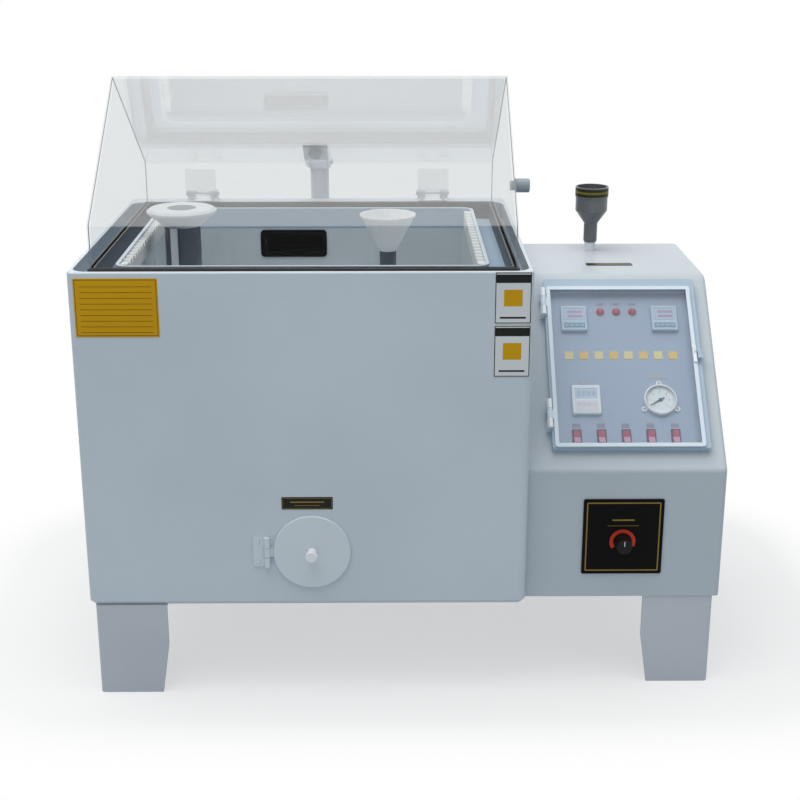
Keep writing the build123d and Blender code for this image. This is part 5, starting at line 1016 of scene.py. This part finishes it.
class TESTCHAMBER_OT_instrument_faces(bpy.types.Operator):
    """Windows, keys and field plates of the two controllers and the timer"""

    bl_idname = "testchamber.instrument_faces"
    bl_label = "Instrument Faces"

    def execute(self, context):
        self.controllers()
        self.timer()
        return {"FINISHED"}

    @staticmethod
    def controllers():
        window = screen_glass("controller_window", shade(186, 202, 222))
        field = printed("controller_keys_field", shade(126, 160, 186))
        keys = printed("controller_keys", shade(160, 188, 208))
        readout = screen_glass("readout_plum", shade(172, 160, 190))
        plates("controller_windows", window, [
            (37, 23, 0.7, 0.6, on_console(u, w + CONTROLLER_SCREEN_UP, SCREEN_HEIGHT))
            for u, w in CONTROLLERS
        ])
        plates("controller_fields", field, [
            (37.4, 9.6, 0.3, 0.6, on_console(u, w - CONTROLLER_KEYS_DOWN, BEZEL_HEIGHT - 0.5))
            for u, w in CONTROLLERS
        ])
        plates("controller_keys", keys, [
            (6.4, 4.6, 0.7, 1, on_console(u - 13.5 + 9 * key, w - CONTROLLER_KEYS_DOWN, BEZEL_HEIGHT - 0.2))
            for u, w in CONTROLLERS for key in range(4)
        ])
        plates("controller_readouts", readout, [
            (26, 5.4, 0.12, 0.6, on_console(u + 2, w + line, SCREEN_HEIGHT + 0.7))
            for u, w in CONTROLLERS for line in (12.5, 3.5)
        ], 0.04)

    @staticmethod
    def timer():
        u, w = TIMER
        columns = [u - 12.9 + 8.6 * column for column in range(4)]
        window = screen_glass("timer_window", shade(204, 222, 240))
        digit = screen_glass("timer_digits", shade(186, 202, 224))
        cream = printed("timer_cream", shade(232, 234, 240))
        key = printed("timer_keys", shade(222, 226, 234))
        plates("timer_window", window,
               [(39, 19.4, 0.6, 0.6, on_console(u, w + TIMER_SCREEN_UP, SCREEN_HEIGHT))])
        plates("timer_digits", digit, [
            (6.6, 10, 0.12, 0.8, on_console(x, w + TIMER_SCREEN_UP, SCREEN_HEIGHT + 0.6)) for x in columns
        ], 0.04)
        plates("timer_field", cream,
               [(40, 21, 0.35, 1.2, on_console(u, w - 13.5, BEZEL_HEIGHT))])
        plates("timer_keys", key,
               [(6.4, 5.4, 0.5, 1, on_console(x, w - 9.5, BEZEL_HEIGHT + 0.35)) for x in columns])


class TESTCHAMBER_OT_gauge_marks(bpy.types.Operator):
    """Scale and plain numerals of the pressure gauge"""

    bl_idname = "testchamber.gauge_marks"
    bl_label = "Gauge Marks"

    def execute(self, context):
        face = on_console(*GAUGE, 4.0)
        mesh = bmesh.new()
        start, sweep, major, minor = radians(-135), radians(270), 6, 5
        for step in range(major * minor + 1):
            angle = start + sweep * step / (major * minor)
            length, width = (4.4, 0.55) if step % minor == 0 else (2.4, 0.3)
            mark = shifted(face @ Matrix.Rotation(-angle, 4, "Z"), MARK_RADIUS - length / 2)
            slab(mesh, width, length, 0.08, 0.1, mark, 0.02)
        arc_strip(mesh, *ARC_RADII, pi / 2 - start, pi / 2 - start - sweep, 0.08, face)
        for step in range(major + 1):
            angle = start + sweep * step / major
            spot = Vector((NUMERAL_RADIUS * sin(angle), NUMERAL_RADIUS * cos(angle), 0.05)) * MM
            numeral(mesh, str(step), 4.6, face @ Matrix.Translation(spot))
        make_piece("gauge_scale", mesh, printed("dial_ink", shade(66, 84, 104)))
        turned_piece("gauge_needle_cap", [(2.4, 0), (2.4, 0.3), (2.0, 0.6), (0, 0.75)],
                     on_console(*GAUGE, 5.8), 24, finish_of("gauge_needle"), "needle")
        return {"FINISHED"}


class TESTCHAMBER_OT_regulator_scale(bpy.types.Operator):
    """Coloured arc and gold lines round the regulator knob, and its pointer"""

    bl_idname = "testchamber.regulator_scale"
    bl_label = "Regulator Scale"

    def execute(self, context):
        colours = context.scene.chamber_colours
        knob, plate = (KNOB_LOW + KNOB_HIGH) / 2, (PLATE_LOW + PLATE_HIGH) / 2
        mesh = bmesh.new()
        arc_strip(mesh, 16, 22.5, radians(-25), radians(215), 0.15, on_front(knob.x, knob.z, PLATE_LOW.y))
        make_piece("regulator_arc", mesh, printed("scale_orange", shade(206, 62, 34)))
        middle = on_front(plate.x, plate.z, PLATE_LOW.y)
        side = (PLATE_HIGH.x - PLATE_LOW.x) / MM - 11
        plates("regulator_lines", printed("gold_line", colours.gold, 0.3), [
            (width, line, FINE_INK, 0.3, shifted(middle, up))
            for width, line, up in ((54, 0.7, 20.5), (38, 2.6, 31))
        ], 0.04, frame=(side, side, 2.2, INK, 2, middle))
        pointer = shifted(on_front(knob.x, knob.z, KNOB_LOW.y), 5.5)
        plates("regulator_pointer", printed("pointer_white", shade(226, 226, 222)),
               [(1.6, 9, 0.2, 0.4, pointer)], body="regulator")
        return {"FINISHED"}


class TESTCHAMBER_OT_inner_fittings(bpy.types.Operator):
    """Vent slats as painted shade, a riser pipe beside the tower that is partly a painted highlight, the
    lid's grey edges as painted shade, and the funnel's band
    """

    bl_idname = "testchamber.inner_fittings"
    bl_label = "Inner Fittings"

    def execute(self, context):
        self.vent_louvres()
        self.riser_pipe()
        self.lid_edges()
        self.funnel_bands()
        return {"FINISHED"}

    @staticmethod
    def vent_louvres():
        """Slanting dark slats in the vent's mouth, painted shade that hides the way through the duct."""
        low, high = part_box("vent_duct")
        middle = Vector(((low.x + high.x) / 2, low.y + SLAT_BACK * MM, high.z - SLAT_DOWN * MM))
        plates("vent_louvres", finish_of("vent_duct"), [
            (110, 10, 0.8, 0.6, placed(middle + Vector((0, 0, (slat - SLATS // 2) * SLAT_STEP * MM)),
                                       (1, 0, 0), (0, 0.64, 0.77), (0, -0.77, 0.64)))
            for slat in range(SLATS)
        ])

    @staticmethod
    def riser_pipe():
        """A white pipe beside the tower, from the false floor up into the cap, partly a thin inner pipe and
        partly a painted highlight of the tube.
        """
        tube_low, tube_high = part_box("tower_tube")
        cap_low, cap_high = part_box("tower_cap")
        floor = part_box("false_floor")[1].z
        foot = on_top((tube_low.x + tube_high.x) / 2 - RISER_LEFT * MM, tube_low.y - RISER_FRONT * MM, floor)
        length = (cap_low.z + (cap_high.z - cap_low.z) * 0.4 - floor) / MM
        profile = ((0, 0), (RISER_FOOT, 0), (RISER_FOOT, 3), (RISER_RADIUS, 5), (RISER_RADIUS, length),
                   (0, length))
        turned_piece("riser_pipe", profile, foot, 24, finish_of("tower_cap"))

    @staticmethod
    def funnel_bands():
        """A dark band with a lighter line round the mouth of the filling funnel."""
        cup = (FUNNEL_LOW + FUNNEL_HIGH) / 2
        radius = (FUNNEL_HIGH.x - FUNNEL_LOW.x) / MM / 2
        inner = radius - 0.3
        place = on_top(cup.x, cup.y, FUNNEL_HIGH.z - 2 * MM)
        for name, low, high, skin, colour in (
            ("funnel_band", -15, 0, 0.25, shade(46, 44, 22)),
            ("funnel_band_line", -9.5, -5.5, 0.4, shade(122, 112, 48)),
        ):
            outer = radius + skin
            turned_piece(name, [(inner, low), (outer, low), (outer, high), (inner, high)], place, 48,
                         printed(name + "_film", colour), "funnel")

    @staticmethod
    def lid_edges():
        """Grey strips inside the lid's clear sheets, along both end panels, painted shade for the dark look
        of the sheets' edges.
        """
        lid = NODES["lid_shell"]
        low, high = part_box("lid_shell")
        points = [lid.matrix_world @ vertex.co for vertex in lid.data.vertices]
        front = max(p.z for p in points if p.y < low.y + MM)
        back = max(p.z for p in points if p.y > high.y - MM)
        ridge = [p.y for p in points if p.z > high.z - MM]
        inset = EDGE_INSET * MM
        outline = [
            (low.y + inset, low.z + inset), (low.y + inset, front),
            ((min(ridge) + max(ridge)) / 2, high.z - inset), (high.y - inset, back),
            (high.y - inset, low.z + inset),
        ]
        mesh = bmesh.new()
        for x in (low.x + inset, high.x - inset):
            for start, end in zip(outline, outline[1:]):
                first, last = Vector((x, *start)), Vector((x, *end))
                along, length = (last - first).normalized(), (last - first).length / MM
                place = placed((first + last) / 2, (1, 0, 0), along, Vector((1, 0, 0)).cross(along))
                slab(mesh, EDGE_WIDTH, length, EDGE_WIDTH, 0.3, place, start=-EDGE_WIDTH / 2)
        make_piece("lid_edges", mesh, printed("edge_grey", shade(150, 160, 168)), "lid")


class TESTCHAMBER_OT_fasteners(bpy.types.Operator):
    """Cross-head screws on hinges, gauge lugs, rear cover and lift clamp"""

    bl_idname = "testchamber.fasteners"
    bl_label = "Fasteners"

    def execute(self, context):
        colours, sizes = given(context)
        steel = finish("screw_steel", scaled(colours.steel, 1.05), 0.26, grains=1800.0, tone=0.08,
                       smudge=0.1, wear=0.5, dust=0.04, metallic=1.0, soft=1 / 3)
        big, small = sizes.screw_radius / MM, sizes.small_screw_radius / MM
        u, w = GAUGE
        lugs = [radians(angle) for angle in (90, 210, 330)]
        heads = [(small, on_console(u + GAUGE_LUG_RADIUS * cos(turn), w + GAUGE_LUG_RADIUS * sin(turn), 2.5))
                 for turn in lugs]
        height = BACK_HIGH.z - BACK_LOW.z
        heads += [(big, on_back(x, BACK_LOW.z + height * share, CABINET_HIGH.y + 2 * MM))
                  for x in (BACK_LOW.x + 7 * MM, BACK_HIGH.x - 7 * MM) for share in (0.03, 0.5, 0.97)]
        heads += [(small, on_front(HINGE_LOW.x + 9 * MM, z, TANK_LOW.y - 2 * MM))
                  for z in (HINGE_LOW.z + 9 * MM, HINGE_HIGH.z - 9 * MM)]
        heads += [(big, on_back(x, z, TANK_HIGH.y + 5 * MM))
                  for x in (CLAMP_LOW.x + 8 * MM, CLAMP_HIGH.x - 8 * MM)
                  for z in (CLAMP_LOW.z + 12 * MM, CLAMP_HIGH.z - 12 * MM)]
        middle = (TANK_LOW.x + TANK_HIGH.x) / 2
        heads += [(small, on_top(middle + across * MM, BRACKET_LOW.y + 6 * MM, TANK_HIGH.z + 3 * MM))
                  for across in LID_HINGE_SCREWS]
        mesh = bmesh.new()
        for index, (radius, place) in enumerate(heads):
            screw_head(mesh, radius, place, 0.3 + index * 0.7)
        make_piece("fixed_screws", mesh, steel, smooth=True)
        return {"FINISHED"}


# Stage


class TESTCHAMBER_OT_stage(bpy.types.Operator):
    """Pale floor, soft studio light, plain world and the camera"""

    bl_idname = "testchamber.stage"
    bl_label = "Stage"

    def execute(self, context):
        stage, colours = context.scene.chamber_stage, context.scene.chamber_colours
        self.floor(colours.floor, colours.floor_bounce)
        self.world(stage.sky)
        self.light("key_light", stage.key_power, *KEY_LIGHT)
        self.light("fill_light", stage.fill_power, *FILL_LIGHT)
        data = bpy.data.cameras.new("camera")
        data.lens = stage.focal
        data.sensor_width = 36.0
        data.clip_end = 200.0
        camera = add_object("camera", data)
        camera.location = stage.camera_place
        camera.rotation_euler = (pi / 2 - stage.camera_down, 0.0, -stage.camera_turn)
        context.scene.camera = camera
        context.scene.view_settings.view_transform = "Standard"
        return {"FINISHED"}

    @staticmethod
    def seen_plainly(tree):
        """1 for camera, glossy and transmission rays that no matt surface has sent."""
        rays = put(tree, "ShaderNodeLightPath").outputs
        seen = calc(tree, "MAXIMUM", rays["Is Camera Ray"], rays["Is Glossy Ray"])
        seen = calc(tree, "MAXIMUM", seen, rays["Is Transmission Ray"])
        return times(tree, seen, calc(tree, "LESS_THAN", rays["Diffuse Depth"], 0.5))

    def floor(self, colour, bounce):
        """A pale floor whose far part is seen as plain white."""
        data = bpy.data.meshes.new("floor")
        corners = [(x * FLOOR_HALF, y * FLOOR_HALF, 0) for x, y in ((-1, -1), (1, -1), (1, 1), (-1, 1))]
        data.from_pydata(corners, [], [(0, 1, 2, 3)])
        material, tree, shader, place = blank_material("pale_floor")
        grain = place_group(tree, grain_group, Place=place, Grains_per_metre=300.0)
        base = mix_colours(tree, grain["Tone"], scaled(colour, 0.99), scaled(colour, 1.01))
        seen = self.seen_plainly(tree)
        fill(tree, shader, Base_Color=mix_colours(tree, seen, bounce, base), Roughness=0.6)
        half = (CABINET_HIGH.x, CABINET_HIGH.y, 1.0)
        outside = vector_calc(tree, "SUBTRACT", vector_calc(tree, "ABSOLUTE", place), half)
        reach = vector_calc(tree, "LENGTH", vector_calc(tree, "MAXIMUM", outside))
        veil = calc(tree, "MAXIMUM", ramp(tree, reach, *VEIL_REACH), VEIL)
        white = put(tree, "ShaderNodeEmission")
        mixed = mix_shaders(tree, times(tree, veil, seen), shader, white)
        output = next(n for n in tree.nodes if n.type == "OUTPUT_MATERIAL")
        fill(tree, output, Surface=mixed)
        data.materials.append(material)
        add_object("floor", data)

    def world(self, strength):
        """White where it is seen, and softer where it lights the object."""
        world = bpy.data.worlds.new("studio")
        world.use_nodes = True
        tree = world.node_tree
        tree.nodes.clear()
        seen = put(tree, "ShaderNodeBackground", (1.0, 1.0, 1.0, 1.0))
        lit = put(tree, "ShaderNodeBackground", (0.88, 0.95, 1.0, 1.0), strength)
        mixed = mix_shaders(tree, self.seen_plainly(tree), lit, seen)
        fill(tree, put(tree, "ShaderNodeOutputWorld"), Surface=mixed)
        bpy.context.scene.world = world

    @staticmethod
    def light(name, power, size, place, colour):
        """A square soft light that looks at the middle of the object, and that no clear sheet shows."""
        data = bpy.data.lights.new(name, "AREA")
        data.energy = power
        data.size = size
        data.color = colour
        lamp = add_object(name, data)
        lamp.visible_glossy = False
        lamp.visible_transmission = False
        lamp.location = place
        lamp.rotation_euler = (AIM - lamp.location).to_track_quat("-Z", "Y").to_euler()


# Panel and running


OPERATORS = (
    TESTCHAMBER_OT_stage, TESTCHAMBER_OT_housing, TESTCHAMBER_OT_chamber, TESTCHAMBER_OT_clear_parts,
    TESTCHAMBER_OT_metal_parts, TESTCHAMBER_OT_panel, TESTCHAMBER_OT_front_plates,
    TESTCHAMBER_OT_console_labels, TESTCHAMBER_OT_instrument_faces, TESTCHAMBER_OT_gauge_marks,
    TESTCHAMBER_OT_regulator_scale, TESTCHAMBER_OT_inner_fittings, TESTCHAMBER_OT_fasteners,
)


class TESTCHAMBER_PT_pieces(bpy.types.Panel):
    """Lists the steps that dress the test chamber, and its colours and sizes"""

    bl_label = "Test Chamber"
    bl_idname = "TESTCHAMBER_PT_pieces"
    bl_space_type = "VIEW_3D"
    bl_region_type = "UI"
    bl_category = "Test Chamber"

    def draw(self, context):
        column = self.layout.column(align=True)
        for operator in OPERATORS:
            column.operator(operator.bl_idname)
        for key in GROUPS:
            box, group = self.layout.box(), getattr(context.scene, key)
            for name in group.__annotations__:
                box.prop(group, name)


GROUPS = {"chamber_colours": ChamberColours, "chamber_sizes": ChamberSizes, "chamber_stage": ChamberStage}
CLASSES = (*GROUPS.values(), *OPERATORS, TESTCHAMBER_PT_pieces)


def register():
    for each in CLASSES:
        bpy.utils.register_class(each)
    for key, group in GROUPS.items():
        setattr(bpy.types.Scene, key, PointerProperty(type=group))


def unregister():
    for key in GROUPS:
        delattr(bpy.types.Scene, key)
    for each in reversed(CLASSES):
        bpy.utils.unregister_class(each)


def main():
    register()
    for operator in OPERATORS:
        group, name = operator.bl_idname.split(".")
        getattr(getattr(bpy.ops, group), name)()


if __name__ == "__main__":
    main()
